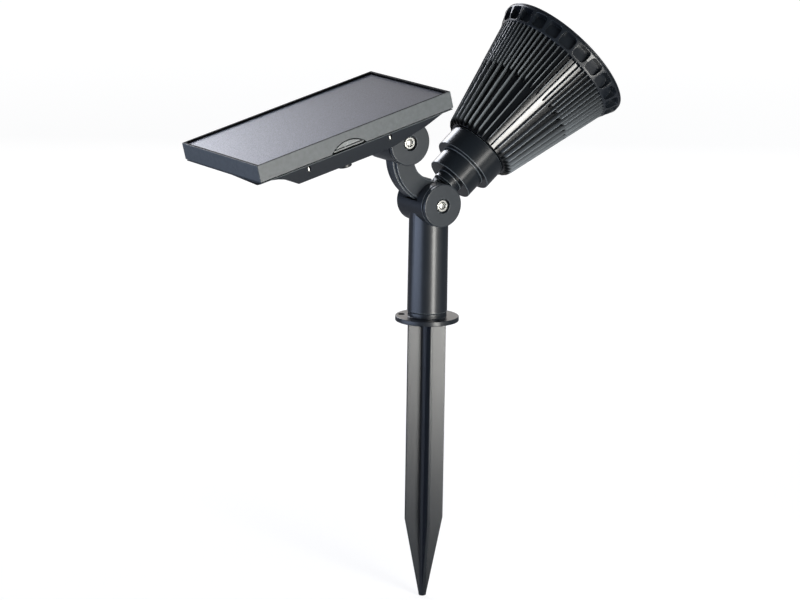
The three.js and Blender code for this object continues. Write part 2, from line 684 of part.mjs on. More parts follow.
function armScrew(degrees) {
  return alongArmScrew(screw([0, 0, 0], 0, ARM_SCREW_LENGTH, 1), degrees);
}

// Solar panel: frame
const CELL_SEAT = LIP_HEIGHT + CELL_THICKNESS + GAP;
const LEDGE_UNDERSIDE = CELL_SEAT + LEDGE_THICKNESS;
const RIM_TOP = FRAME_HEIGHT + GAP;
const RIM_BOTTOM = RIM_TOP + RIM_THICKNESS;
const FLOOR_OUTSIDE = RIM_BOTTOM + SHELL_DEPTH;
const FLOOR_INSIDE = FLOOR_OUTSIDE - SHELL_WALL;

// A block centred on the panel, given by its inset from the outline and two depths.
function panelBlock(inset, from, to) {
  const length = PANEL_LENGTH / 2 - inset;
  const width = PANEL_WIDTH / 2 - inset;
  return block([-length, -width, -to], [length, width, -from]);
}

// Places of the four side screws: [x, side] with side -1 at the near wall.
const SIDE_SCREWS = SIDE_SCREW_PLACES.flatMap((x) => [[x, -1], [x, 1]]);

// A bar along Y between two distances from the panel's middle, on the near side or the far side.
function sideBar([x, side], radius, inner, outer, sides = SCREW_ROUND) {
  const from = Math.min(side * inner, side * outer);
  const length = Math.abs(outer - inner);
  const geometry = new THREE.CylinderGeometry(radius, radius, length, sides);
  return solid(geometry.translate(x, from + length / 2, -RIM_BOTTOM - SIDE_SCREW_DROP));
}

function halfMoon(inset, from, to) {
  const half = MOON_WIDTH / 2 - inset;
  const rise = MOON_HEIGHT - inset;
  const radius = (half * half + rise * rise) / (2 * rise);
  const centre = [MOON_PLACE, -FRAME_HEIGHT + rise - radius];
  const reach = THREE.MathUtils.radToDeg(Math.asin(half / radius));
  return prismAlongY(arc(centre, radius, 90 - reach, 90 + reach, SCREW_ROUND), from, to);
}

function panelFrame() {
  const outside = join(panelBlock(FRAME_EDGE, 0, FRAME_HEIGHT), panelBlock(0, FRAME_EDGE, FRAME_HEIGHT));
  const window = panelBlock(LIP_WIDTH + LEDGE_WIDTH, -OVERRUN, FRAME_HEIGHT + OVERRUN);
  const cellPocket = panelBlock(LIP_WIDTH, -OVERRUN, CELL_SEAT);
  const hollow = panelBlock(FRAME_WALL, LEDGE_UNDERSIDE, FRAME_HEIGHT + OVERRUN);
  const lugs = SIDE_SCREWS.map(([x, side]) => frameLug(x, side));
  const bores = SIDE_SCREWS.map((place) =>
    sideBar(place, SIDE_SHANK_RADIUS + SCREW_BORE_CLEARANCE, LUG_INSIDE - ROOT, LUG_OUTSIDE + ROOT));
  const wall = -PANEL_WIDTH / 2;
  const moon = halfMoon(0, wall - OVERRUN, wall + FRAME_WALL + OVERRUN);
  return cut(join(cut(outside, window, cellPocket, hollow), ...lugs), ...bores, moon);
}

// Lug that hangs from the frame's ledge beside the shell's wall and takes a side screw.
function frameLug(x, side) {
  const tail = -RIM_BOTTOM - SIDE_SCREW_DROP - LUG_TAIL;
  const shoulder = -FRAME_HEIGHT + GASKET_HEIGHT + GAP;
  const anchored = side * (PANEL_WIDTH / 2 - FRAME_WALL / 2);
  const [outside, inside] = [side * LUG_OUTSIDE, side * LUG_INSIDE];
  const top = -CELL_SEAT - LEDGE_THICKNESS / 2;
  const upper = block(
    [x - LUG_HALF_LENGTH, Math.min(anchored, inside), shoulder],
    [x + LUG_HALF_LENGTH, Math.max(anchored, inside), top],
  );
  const lower = block(
    [x - LUG_HALF_LENGTH, Math.min(outside, inside), tail],
    [x + LUG_HALF_LENGTH, Math.max(outside, inside), top],
  );
  return join(upper, lower);
}

function solarCell() {
  return panelBlock(LIP_WIDTH + GAP, LIP_HEIGHT, LIP_HEIGHT + CELL_THICKNESS);
}

function shellGasket() {
  const top = FRAME_HEIGHT - GASKET_HEIGHT;
  const inset = FRAME_WALL + GAP;
  const inside = panelBlock(inset + GASKET_WIDTH, top - OVERRUN, FRAME_HEIGHT + OVERRUN);
  return cut(panelBlock(inset, top, FRAME_HEIGHT), inside);
}

function halfMoonInsert() {
  const face = -PANEL_WIDTH / 2 + MOON_RECESS;
  const window = halfMoon(GAP, face, face + MOON_THICKNESS);
  const half = MOON_WIDTH / 2 - 2 * MOON_SILL;
  const sill = block([MOON_PLACE - half, face - MOON_RECESS / 2, -FRAME_HEIGHT],
    [MOON_PLACE + half, face + MOON_THICKNESS, -FRAME_HEIGHT + MOON_SILL]);
  return join(window, sill);
}

// Back shell: a tapered box, its rim, and the drum of the upper pivot
function shellBox(inset, top) {
  const floor = -FLOOR_OUTSIDE + inset;
  const long = [
    [SHELL_LEFT_MOUTH + inset, -RIM_BOTTOM],
    [SHELL_LEFT_FLOOR + inset, floor],
    [SHELL_RIGHT_FLOOR - inset / 2, floor],
    [SHELL_KNEE - inset, -RIM_BOTTOM - SHELL_KNEE_DEPTH + inset],
    [SHELL_RIGHT_MOUTH - inset * 2, -RIM_BOTTOM],
    [SHELL_RIGHT_MOUTH - inset * 2, top],
    [SHELL_LEFT_MOUTH + inset, top],
  ];
  const across = [
    [-SHELL_FLOOR_HALF_WIDTH + inset, -FLOOR_OUTSIDE - OVERRUN],
    [SHELL_FLOOR_HALF_WIDTH - inset, -FLOOR_OUTSIDE - OVERRUN],
    [SHELL_FLOOR_HALF_WIDTH - inset, -FLOOR_OUTSIDE],
    [SHELL_MOUTH_HALF_WIDTH - inset, -RIM_BOTTOM],
    [SHELL_MOUTH_HALF_WIDTH - inset, top],
    [-SHELL_MOUTH_HALF_WIDTH + inset, top],
    [-SHELL_MOUTH_HALF_WIDTH + inset, -RIM_BOTTOM],
    [-SHELL_FLOOR_HALF_WIDTH + inset, -FLOOR_OUTSIDE],
  ];
  const lengthwise = prismAlongY(long, -PANEL_WIDTH, PANEL_WIDTH);
  return lengthwise.intersect(prismAlongX(across, -PANEL_LENGTH, PANEL_LENGTH));
}

// A solid of the upper pivot's own frame, put where the panel's frame has it.
function fromPivotToPanel(body) {
  return solid(geometryOf(body).rotateY(radians(PANEL_TILT_DEGREES)).translate(PANEL_OFFSET, 0, -PANEL_RISE));
}

const HATCH_MIDDLE = [HATCH_PLACE, HATCH_SIDE];
const HATCH_SCREW_SPAN = HATCH_LENGTH / 2 - HATCH_SCREW_INSET;
const HATCH_SCREWS = [-1, 1].map((side) => [HATCH_PLACE + side * HATCH_SCREW_SPAN, HATCH_SIDE, 0]);
const HATCH_LEDGE_TOP = FLOOR_INSIDE - HATCH_LEDGE_THICKNESS;
const HATCH_TOP = FLOOR_INSIDE + GAP;
const BOARD_UNDERSIDE = FLOOR_INSIDE - BOARD_HEIGHT;
const STANDOFF_SPAN = BOARD_LENGTH / 2 - STANDOFF_INSET;
const STANDOFF_SIDE = BOARD_SIDE + BOARD_WIDTH / 2 - STANDOFF_INSET;
const STANDOFFS = [-1, 1].map((side) => [BOARD_PLACE + side * STANDOFF_SPAN, STANDOFF_SIDE, 0]);

function hatchOutline(growth) {
  return roundedRectangle(HATCH_MIDDLE, HATCH_LENGTH + 2 * growth, HATCH_WIDTH + 2 * growth, HATCH_CORNER);
}

function shellDrum() {
  const drum = pivotBar(UPPER_DRUM_RADIUS, DRUM_FACE, DRUM_LENGTH);
  return cut(drum, ...drumCutters(UPPER_DRUM_RADIUS, UPPER_SLOT_DEGREES));
}

// What the shell has for its hatch: a ledge with two screw bosses round a mouth.
function hatchMouth(tray) {
  const ledge = prismAlongZ(hatchOutline(HATCH_LEDGE_WIDTH), -FLOOR_OUTSIDE + GAP, -HATCH_LEDGE_TOP);
  const opening = prismAlongZ(hatchOutline(0), -FLOOR_OUTSIDE - OVERRUN, -FLOOR_INSIDE);
  const mouth = prismAlongZ(hatchOutline(-HATCH_LEDGE_WIDTH), -FLOOR_OUTSIDE, -HATCH_LEDGE_TOP + OVERRUN);
  const bosses = HATCH_SCREWS.map((place) =>
    bar(HATCH_BOSS_RADIUS, -FLOOR_INSIDE, -FLOOR_INSIDE + HATCH_BOSS_HEIGHT, SCREW_ROUND, place));
  const bores = HATCH_SCREWS.map((place) =>
    screwBore(place, -FLOOR_OUTSIDE, -FLOOR_INSIDE + HATCH_SCREW_LENGTH - GAP));
  return cut(join(cut(join(tray, ledge), opening, mouth), ...bosses), ...bores);
}

function backShell() {
  const rim = panelBlock(RIM_INSET, RIM_TOP, RIM_BOTTOM);
  const outside = shellBox(0, -RIM_BOTTOM + RIM_THICKNESS / 2);
  const inside = shellBox(SHELL_WALL, -RIM_TOP + OVERRUN);
  const web = block(
    [PANEL_OFFSET - WEB_BEHIND, DRUM_FACE - DRUM_LENGTH / 2, -PANEL_RISE],
    [PANEL_OFFSET + WEB_AHEAD, DRUM_LENGTH / 2, -RIM_BOTTOM - SHELL_WALL],
  );
  const standoffs = STANDOFFS.map((place) =>
    bar(STANDOFF_RADIUS, -FLOOR_INSIDE - SHELL_WALL / 2, -BOARD_UNDERSIDE - GAP, SCREW_ROUND, place));
  const tray = hatchMouth(join(cut(join(rim, outside, web), inside), ...standoffs));
  const drumSpace = fromPivotToPanel(pivotBar(UPPER_DRUM_RADIUS, CAP_THICKNESS, DRUM_LENGTH + OVERRUN));
  const wellFloor = SIDE_HEAD_REACH - SIDE_HEAD_HEIGHT - GAP;
  const wells = SIDE_SCREWS.map((place) =>
    sideBar(place, SIDE_HEAD_RADIUS + SIDE_WELL_CLEARANCE, wellFloor, PANEL_WIDTH));
  const wallBores = SIDE_SCREWS.map((place) =>
    sideBar(place, SIDE_SHANK_RADIUS + SCREW_BORE_CLEARANCE, LUG_OUTSIDE - ROOT, PANEL_WIDTH));
  const boardBores = STANDOFFS.map((place) => screwBore(place, -FLOOR_INSIDE, -BOARD_UNDERSIDE + OVERRUN));
  const buttonHole = bar(BUTTON_RADIUS + BUTTON_CLEARANCE, -FLOOR_OUTSIDE - OVERRUN, -FLOOR_INSIDE + ROOT,
    SMALL_ROUND, [BUTTON_PLACE, BUTTON_SIDE, 0]);
  return cut(join(cut(tray, drumSpace), fromPivotToPanel(shellDrum())),
    ...wells, ...wallBores, ...boardBores, buttonHole);
}

function sideScrew(place) {
  const seat = SIDE_HEAD_REACH - SIDE_HEAD_HEIGHT;
  const head = sideBar(place, SIDE_HEAD_RADIUS, seat, SIDE_HEAD_REACH);
  const shank = sideBar(place, SIDE_SHANK_RADIUS, seat - SIDE_SCREW_LENGTH, seat + SIDE_HEAD_HEIGHT / 2);
  return join(head, shank);
}

// Battery compartment
function hatchScrew(place) {
  const [start, seat] = [-FLOOR_OUTSIDE - SCREW_HEAD_HEIGHT, -FLOOR_OUTSIDE - GAP / 2];
  const middle = (start + seat) / 2;
  const head = bar(HATCH_HEAD_RADIUS, start, seat, SCREW_ROUND, place);
  return join(head, bar(SCREW_SHANK_RADIUS, middle, seat + HATCH_SCREW_LENGTH, SCREW_ROUND, place));
}

function batteryHatch() {
  const plate = prismAlongZ(hatchOutline(-GAP), -FLOOR_OUTSIDE, -HATCH_TOP);
  const bores = HATCH_SCREWS.map((place) => screwBore(place, -FLOOR_OUTSIDE - OVERRUN, -HATCH_TOP + OVERRUN));
  return cut(plate, ...bores);
}

const HOLDER_FLOOR = HATCH_TOP - GAP;
const CELL_AXIS = HOLDER_FLOOR - BATTERY_RADIUS;
const HOLDER_TOP = CELL_AXIS - BATTERY_RADIUS - GAP - HOLDER_WALL;

// A block round the middle of the hatch, between two depths.
function hatchBlock(length, width, from, to) {
  const low = [HATCH_PLACE - length / 2, HATCH_SIDE - width / 2, -to];
  return block(low, [HATCH_PLACE + length / 2, HATCH_SIDE + width / 2, -from]);
}

function batteryHolder() {
  const bottom = HATCH_LEDGE_TOP - GAP;
  const outside = hatchBlock(HOLDER_LENGTH, HOLDER_WIDTH, HOLDER_TOP, bottom);
  const foot = hatchBlock(HOLDER_LENGTH, HATCH_WIDTH, bottom - HOLDER_FOOT, bottom);
  const inside = hatchBlock(HOLDER_LENGTH - 2 * HOLDER_WALL, HOLDER_WIDTH - 2 * HOLDER_WALL,
    HOLDER_TOP + HOLDER_WALL, HATCH_LEDGE_TOP + OVERRUN);
  return cut(join(outside, foot), inside);
}

function alongX(radius, from, to, side, sides = SMALL_ROUND) {
  const geometry = new THREE.CylinderGeometry(radius, radius, to - from, sides).rotateZ(Math.PI / 2);
  const across = HATCH_SIDE + (side * BATTERY_PITCH) / 2;
  return solid(geometry.translate(HATCH_PLACE + (from + to) / 2, across, -CELL_AXIS));
}

// A cell whose tip points along +X in one row and along -X in the other.
function batteryCell(side) {
  const half = BATTERY_LENGTH / 2;
  const tip = side * half;
  const can = alongX(BATTERY_RADIUS, -half, half, side, MIDDLE_ROUND);
  const nib = side > 0
    ? alongX(BATTERY_TIP_RADIUS, half - ROOT, tip + BATTERY_TIP_LENGTH, side, SCREW_ROUND)
    : alongX(BATTERY_TIP_RADIUS, tip - BATTERY_TIP_LENGTH, ROOT - half, side, SCREW_ROUND);
  return join(can, nib);
}

function batteryContact(end) {
  const face = end * (HOLDER_LENGTH / 2 - HOLDER_WALL - GAP / 2);
  const back = face - end * CONTACT_THICKNESS;
  const half = CONTACT_HEIGHT / 2;
  const width = HOLDER_WIDTH / 2 - HOLDER_WALL - GAP;
  return block(
    [HATCH_PLACE + Math.min(face, back), HATCH_SIDE - width, -CELL_AXIS - half],
    [HATCH_PLACE + Math.max(face, back), HATCH_SIDE + width, -CELL_AXIS + half],
  );
}

// Control board with its chip and socket, held by two screws on the shell's standoffs
function controlBoard() {
  const top = -BOARD_UNDERSIDE + BOARD_THICKNESS;
  const [halfLength, halfWidth] = [BOARD_LENGTH / 2, BOARD_WIDTH / 2];
  const sheet = block([BOARD_PLACE - halfLength, BOARD_SIDE - halfWidth, -BOARD_UNDERSIDE],
    [BOARD_PLACE + halfLength, BOARD_SIDE + halfWidth, top]);
  const onBoard = (share, size) => block(
    [BOARD_PLACE + share * BOARD_LENGTH - size[0] / 2, BOARD_SIDE - size[1] / 2, top - BOARD_THICKNESS / 2],
    [BOARD_PLACE + share * BOARD_LENGTH + size[0] / 2, BOARD_SIDE + size[1] / 2, top + size[2]],
  );
  const bores = STANDOFFS.map((place) => screwBore(place, -BOARD_UNDERSIDE - OVERRUN, top + OVERRUN));
  return cut(join(sheet, onBoard(CHIP_SHARE, CHIP_SIZE), onBoard(-CHIP_SHARE, SOCKET_SIZE)), ...bores);
}

function boardScrew(place) {
  const top = -BOARD_UNDERSIDE + BOARD_THICKNESS + GAP + SCREW_HEAD_HEIGHT;
  return screw(place, top, LED_SCREW_LENGTH, -1);
}

const SWITCH_TOP = BOARD_UNDERSIDE + GAP;
const BUTTON_FLANGE_FLOOR = FLOOR_INSIDE - GAP;
const BUTTON_FLANGE_TOP = BUTTON_FLANGE_FLOOR - BUTTON_FLANGE_THICKNESS;
const PLUNGER_END = BUTTON_FLANGE_TOP - BUTTON_TRAVEL - GAP;
const SWITCH_BOTTOM = PLUNGER_END - SWITCH_PLUNGER_LENGTH;

const BUTTON_MIDDLE = [BUTTON_PLACE, BUTTON_SIDE, 0];

function pushSwitch() {
  const half = SWITCH_SIZE / 2;
  const body = block(
    [BUTTON_PLACE - half, BUTTON_SIDE - half, -SWITCH_BOTTOM],
    [BUTTON_PLACE + half, BUTTON_SIDE + half, -SWITCH_TOP],
  );
  const root = -SWITCH_BOTTOM + SWITCH_PLUNGER_LENGTH / 2;
  return join(body, bar(SWITCH_PLUNGER_RADIUS, -PLUNGER_END, root, SCREW_ROUND, BUTTON_MIDDLE));
}

function powerButton() {
  const end = -FLOOR_OUTSIDE - BUTTON_PROUD;
  return turned([
    [0, end],
    [BUTTON_RADIUS - BUTTON_EDGE, end],
    [BUTTON_RADIUS, end + BUTTON_EDGE],
    [BUTTON_RADIUS, -BUTTON_FLANGE_FLOOR],
    [BUTTON_FLANGE_RADIUS, -BUTTON_FLANGE_FLOOR],
    [BUTTON_FLANGE_RADIUS, -BUTTON_FLANGE_TOP],
    [0, -BUTTON_FLANGE_TOP],
  ], SMALL_ROUND, BUTTON_MIDDLE);
}

// Angles in degrees of a number of equal steps round an axis, shifted by a share of a step.
function turns(count, stepShare) {
  return Array.from({ length: count }, (_, index) => ((index + stepShare) * 360) / count);
}

// Points evenly round the lamp's axis.
function round(count, circle, stepShare = 0) {
  return turns(count, stepShare).map((degrees) => [...arc([0, 0], circle, degrees, degrees, 1)[0], 0]);
}

// A turned ring from a closed profile of [radius, height] points.
function ring(inner, outer, from, to, sides = ROUND) {
  return turned([[inner, from], [outer, from], [outer, to], [inner, to], [inner, from]], sides);
}

// Lamp neck: a lug in the lower pivot, a short neck and two collars
const NECK_SCREW_PLACES = round(NECK_SCREWS, NECK_SCREW_CIRCLE);
const HOUSING_START = COLLAR_END + GAP;
const HOUSING_INSIDE = HOUSING_START + HOUSING_FLOOR;
const NECK_HEAD_TOP = HOUSING_INSIDE + GAP + SCREW_HEAD_HEIGHT;

function lampNeck() {
  const lug = pivotBar(LUG_RADIUS, LAMP_LUG_START, LAMP_LUG_END);
  const web = block(
    [-LAMP_WEB_HALF_WIDTH, LAMP_LUG_START - DRUM_LENGTH / 2, 0],
    [LAMP_WEB_HALF_WIDTH, LAMP_LUG_END - DRUM_LENGTH / 2, NECK_START + ROOT],
  );
  const neck = turned([
    [0, NECK_START],
    [NECK_START_RADIUS, NECK_START],
    [NECK_RADIUS, NECK_SHOULDER],
    [NECK_RADIUS, COLLAR_START],
    [SMALL_COLLAR_RADIUS - COLLAR_EDGE, COLLAR_START],
    [SMALL_COLLAR_RADIUS, COLLAR_START + COLLAR_EDGE],
    [SMALL_COLLAR_RADIUS, COLLAR_STEP],
    [LARGE_COLLAR_RADIUS - COLLAR_EDGE, COLLAR_STEP],
    [LARGE_COLLAR_RADIUS, COLLAR_STEP + COLLAR_EDGE],
    [LARGE_COLLAR_RADIUS, COLLAR_END - COLLAR_EDGE],
    [LARGE_COLLAR_RADIUS - COLLAR_EDGE, COLLAR_END],
    [0, COLLAR_END],
  ]);
  const bore = pivotBar(BOLT_BORE_RADIUS, -OVERRUN, DRUM_LENGTH + OVERRUN, SCREW_ROUND);
  const pocket = bar(NECK_POCKET_RADIUS, NECK_POCKET_START, COLLAR_END + OVERRUN);
  const groove = ring(SEAL_INNER_RADIUS - SEAL_CLEARANCE, SEAL_OUTER_RADIUS + SEAL_CLEARANCE,
    COLLAR_END - SEAL_THICKNESS - SEAL_CLEARANCE, COLLAR_END + OVERRUN, MIDDLE_ROUND);
  const bores = NECK_SCREW_PLACES.map((place) =>
    screwBore(place, NECK_HEAD_TOP - SCREW_HEAD_HEIGHT - NECK_SCREW_LENGTH - GAP, COLLAR_END + OVERRUN));
  return cut(join(lug, web, neck), bore, pocket, groove, ...bores);
}

function neckSeal() {
  return ring(SEAL_INNER_RADIUS, SEAL_OUTER_RADIUS, COLLAR_END - SEAL_THICKNESS, COLLAR_END, MIDDLE_ROUND);
}

// Finned housing: a cone with long and short fins under a flare with pockets
const FIN_SLOPE = (FIN_HEAD_RADIUS - FIN_FOOT_RADIUS) / (FIN_END - HOUSING_START);
const finRadius = (height) => FIN_FOOT_RADIUS + FIN_SLOPE * (height - HOUSING_START);
const wallRadius = (height) => finRadius(height) - FIN_HEIGHT;
const hollowRadius = (height) => wallRadius(height) - HOUSING_WALL;
const LED_SCREW_PLACES = round(LED_SCREWS, LED_SCREW_CIRCLE, 1 / 4);

// A blade in the plane of the lamp's axis, from its start to the flare.
function fin(start, degrees) {
  const root = ROOT / 2;
  const outline = [
    [wallRadius(start) - root, start],
    [finRadius(start) - FIN_FOOT_EDGE, start],
    [finRadius(start + FIN_FOOT_EDGE), start + FIN_FOOT_EDGE],
    [finRadius(FIN_END), FIN_END],
    [finRadius(FIN_END) - FIN_HEIGHT, FIN_END + root],
    [wallRadius(FIN_END) - root, FIN_END],
  ];
  return rotatedAboutZ(prismAlongY(outline, -FIN_WIDTH / 2, FIN_WIDTH / 2), degrees);
}

function flarePocket(degrees) {
  const middle = (POCKET_FROM + POCKET_TO) / 2;
  const outline = roundedRectangle([0, middle], POCKET_WIDTH, POCKET_TO - POCKET_FROM, POCKET_CORNER);
  return rotatedAboutZ(prismAlongX(outline, POCKET_FLOOR_RADIUS, RIM_RADIUS + OVERRUN), degrees);
}

function housingHollow() {
  const taperStart = SHELF_HEIGHT - SHELF_THICKNESS - SHELF_TAPER;
  return turned([
    [0, HOUSING_INSIDE],
    [hollowRadius(HOUSING_INSIDE), HOUSING_INSIDE],
    [hollowRadius(taperStart), taperStart],
    [SHELF_RADIUS, SHELF_HEIGHT - SHELF_THICKNESS],
    [SHELF_RADIUS, SHELF_HEIGHT],
    [hollowRadius(SHELF_HEIGHT), SHELF_HEIGHT],
    [CHAMBER_RADIUS, CHAMBER_START],
    [CHAMBER_RADIUS, SEAT_HEIGHT],
    [SEAT_RADIUS, SEAT_HEIGHT],
    [SEAT_RADIUS, FLARE_END + OVERRUN],
    [0, FLARE_END + OVERRUN],
  ]);
}

function lampHousing() {
  const wall = turned([
    [0, HOUSING_START],
    [wallRadius(HOUSING_START), HOUSING_START],
    [wallRadius(FIN_END), FIN_END],
    [FIN_HEAD_RADIUS, FIN_END],
    [FLARE_WAIST_RADIUS, FLARE_WAIST],
    [RIM_RADIUS, FLARE_SHOULDER],
    [RIM_RADIUS, FLARE_END],
    [0, FLARE_END],
  ], HOUSING_SIDES);
  const longFins = turns(LONG_FINS, 0).map((degrees) => fin(HOUSING_START, degrees));
  const shortFins = turns(LONG_FINS, 1 / 2).map((degrees) => fin(SHORT_FIN_START, degrees));
  const pockets = turns(POCKETS, 1 / 2).map((degrees) => flarePocket(degrees));
  const bosses = LED_SCREW_PLACES.map((place) =>
    bar(LED_BOSS_RADIUS, SHELF_HEIGHT - LED_BOSS_HEIGHT, SHELF_HEIGHT, SCREW_ROUND, place));
  const [below, above] = [HOUSING_START - OVERRUN, HOUSING_INSIDE + OVERRUN];
  const neckBores = NECK_SCREW_PLACES.map((place) => screwBore(place, below, above));
  const ledBores = LED_SCREW_PLACES.map((place) =>
    screwBore(place, LED_BOARD_TOP - LED_SCREW_LENGTH, SHELF_HEIGHT + OVERRUN));
  const wireHole = bar(WIRE_HOLE_RADIUS, below, above, SCREW_ROUND);
  const hollowed = cut(join(wall, ...longFins, ...shortFins), housingHollow());
  return cut(join(hollowed, ...bosses), ...pockets, ...neckBores, ...ledBores, wireHole);
}

// Optics
const LED_BOARD_START = SHELF_HEIGHT + GAP;
const LED_BOARD_TOP = LED_BOARD_START + LED_BOARD_THICKNESS;
const LED_START = LED_BOARD_TOP + GAP / 2;
const REFLECTOR_START = LED_BOARD_TOP + GAP;
const REFLECTOR_TOP = SEAT_HEIGHT - GAP / 2;
const LENS_GASKET_START = SEAT_HEIGHT + GAP / 2;
const LENS_GASKET_TOP = LENS_GASKET_START + LENS_GASKET_THICKNESS;
const LENS_START = LENS_GASKET_TOP + GAP / 2;
const BEZEL_LIP = LENS_START + LENS_THICKNESS + GAP / 2;
const BEZEL_START = FLARE_END + GAP;

function ledBoard() {
  const disc = bar(LED_BOARD_RADIUS, LED_BOARD_START, LED_BOARD_TOP, MIDDLE_ROUND);
  const [below, above] = [LED_BOARD_START - OVERRUN, LED_BOARD_TOP + OVERRUN];
  const bores = LED_SCREW_PLACES.map((place) => screwBore(place, below, above));
  const wireHole = bar(WIRE_HOLE_RADIUS, below, above, SCREW_ROUND);
  return cut(disc, ...bores, wireHole);
}

function led([x, y]) {
  const half = LED_SIZE / 2;
  const top = LED_START + LED_BASE_HEIGHT;
  const base = block([x - half, y - half, LED_START], [x + half, y + half, top]);
  const dome = bar(LED_DOME_RADIUS, top - LED_BASE_HEIGHT / 2, top + LED_DOME_HEIGHT, SCREW_ROUND, [x, y, 0]);
  return join(base, dome);
}

function reflector() {
  const depth = REFLECTOR_TOP - REFLECTOR_START;
  const body = turned([
    [0, REFLECTOR_START],
    [REFLECTOR_FOOT_RADIUS, REFLECTOR_START],
    [REFLECTOR_HEAD_RADIUS, REFLECTOR_TOP - REFLECTOR_RIM],
    [REFLECTOR_RADIUS, REFLECTOR_TOP - REFLECTOR_RIM],
    [REFLECTOR_RADIUS, REFLECTOR_TOP],
    [0, REFLECTOR_TOP],
  ], MIDDLE_ROUND);
  const bowls = round(LEDS, LED_CIRCLE).map((place) => {
    const wall = BOWL_RADII.map((radius, index) => [radius, REFLECTOR_START + BOWL_SHARES[index] * depth]);
    const [throat, mouth] = [BOWL_RADII[0], BOWL_RADII.at(-1)];
    return turned([
      [0, REFLECTOR_START - OVERRUN],
      [throat, REFLECTOR_START - OVERRUN],
      ...wall,
      [mouth, REFLECTOR_TOP + OVERRUN],
      [0, REFLECTOR_TOP + OVERRUN],
    ], SMALL_ROUND, place);
  });
  return cut(body, ...bowls);
}

function lensGasket() {
  return ring(GASKET_INNER_RADIUS, LENS_RADIUS, LENS_GASKET_START, LENS_GASKET_TOP);
}

function frontLens() {
  const edge = LENS_START + LENS_THICKNESS;
  const inner = BEZEL_INNER_RADIUS - GAP;
  const crown = CROWN_SHARES.map(([reach, rise]) => [reach * inner, edge + rise * LENS_CROWN]);
  return turned([
    [0, LENS_START],
    [LENS_RADIUS, LENS_START],
    [LENS_RADIUS, edge],
    [inner, edge],
    ...crown,
    [0, edge + LENS_CROWN],
  ]);
}

function bezelRing() {
  return turned([
    [BEZEL_INNER_RADIUS, BEZEL_LIP],
    [BEZEL_LIP_RADIUS, BEZEL_LIP],
    [BEZEL_LIP_RADIUS, BEZEL_START],
    [RIM_RADIUS, BEZEL_START],
    [RIM_RADIUS, BEZEL_TOP - BEZEL_EDGE],
    [RIM_RADIUS - BEZEL_EDGE, BEZEL_TOP],
    [BEZEL_INNER_RADIUS + BEZEL_EDGE, BEZEL_TOP],
    [BEZEL_INNER_RADIUS, BEZEL_TOP - BEZEL_EDGE],
    [BEZEL_INNER_RADIUS, BEZEL_LIP],
  ]);
}

// Assembly
function turnedGroup(parent, place, degrees) {
  const group = new THREE.Group();
  group.position.set(...place);
  group.rotation.y = radians(degrees);
  parent.add(group);
  return group;
}

const light = new THREE.Group();
const lowerPivot = turnedGroup(light, [0, 0, PIVOT_HEIGHT], 0);
const upperPivot = turnedGroup(lowerPivot, [UPPER_PIVOT_X, 0, UPPER_PIVOT_RISE], 0);
const bracket = turnedGroup(upperPivot, [0, 0, 0], -PANEL_TILT_DEGREES);
const panel = turnedGroup(bracket, [-PANEL_OFFSET, 0, PANEL_RISE], 0);
const lamp = turnedGroup(lowerPivot, [0, 0, 0], 90 - LAMP_ANGLE_DEGREES);

piece(light, "ground_spike", groundSpike(), BLACK_ABS);
piece(light, "base_flange", baseFlange(), BLACK_ABS);
piece(lowerPivot, "post", post(), BLACK_ABS);
piece(lowerPivot, "lower_joint_cap", jointCap(LOWER_DRUM_RADIUS), BLACK_ABS);
piece(lowerPivot, "lower_joint_bolt", pivotBolt(), STEEL);
piece(lowerPivot, "lower_joint_nut", pivotNut(), STEEL);
piece(lowerPivot, "lower_joint_washer", frictionWasher(LOWER_WASHER_START), WHITE_NYLON);

piece(lowerPivot, "arm_body", armBody(), BLACK_ABS);
piece(lowerPivot, "arm_rear_cover", armRearCover(), BLACK_ABS);
ARM_SCREW_DEGREES.forEach((degrees, index) =>
  piece(lowerPivot, `arm_cover_screw_${index + 1}`, armScrew(degrees), STEEL));

piece(upperPivot, "upper_joint_cap", jointCap(UPPER_DRUM_RADIUS), BLACK_ABS);
piece(upperPivot, "upper_joint_bolt", pivotBolt(), STEEL);
piece(upperPivot, "upper_joint_nut", pivotNut(), STEEL);
piece(upperPivot, "upper_joint_washer", frictionWasher(UPPER_WASHER_START), WHITE_NYLON);
piece(panel, "panel_frame", panelFrame(), BLACK_ABS);
piece(panel, "solar_cell_sheet", solarCell(), CELL_SHEET);
piece(panel, "shell_gasket", shellGasket(), RUBBER);
piece(panel, "half_moon_insert", halfMoonInsert(), SMOKED);
piece(panel, "back_shell", backShell(), BLACK_ABS);
SIDE_SCREWS.forEach((place, index) => piece(panel, `side_screw_${index + 1}`, sideScrew(place), STEEL));
piece(panel, "battery_hatch", batteryHatch(), BLACK_ABS);
HATCH_SCREWS.forEach((place, index) => piece(panel, `hatch_screw_${index + 1}`, hatchScrew(place), STEEL));
piece(panel, "battery_holder", batteryHolder(), BLACK_CHIP);
BATTERIES.forEach((side, index) => {
  piece(panel, `battery_cell_${index + 1}`, batteryCell(side), BATTERY_SLEEVE);
  piece(panel, `battery_contact_${index + 1}`, batteryContact(side), STEEL);
});
piece(panel, "control_board", controlBoard(), BOARD_GREEN);
STANDOFFS.forEach((place, index) => piece(panel, `board_screw_${index + 1}`, boardScrew(place), STEEL));
piece(panel, "push_switch", pushSwitch(), BLACK_CHIP);
piece(panel, "power_button", powerButton(), GLOSS_ABS);

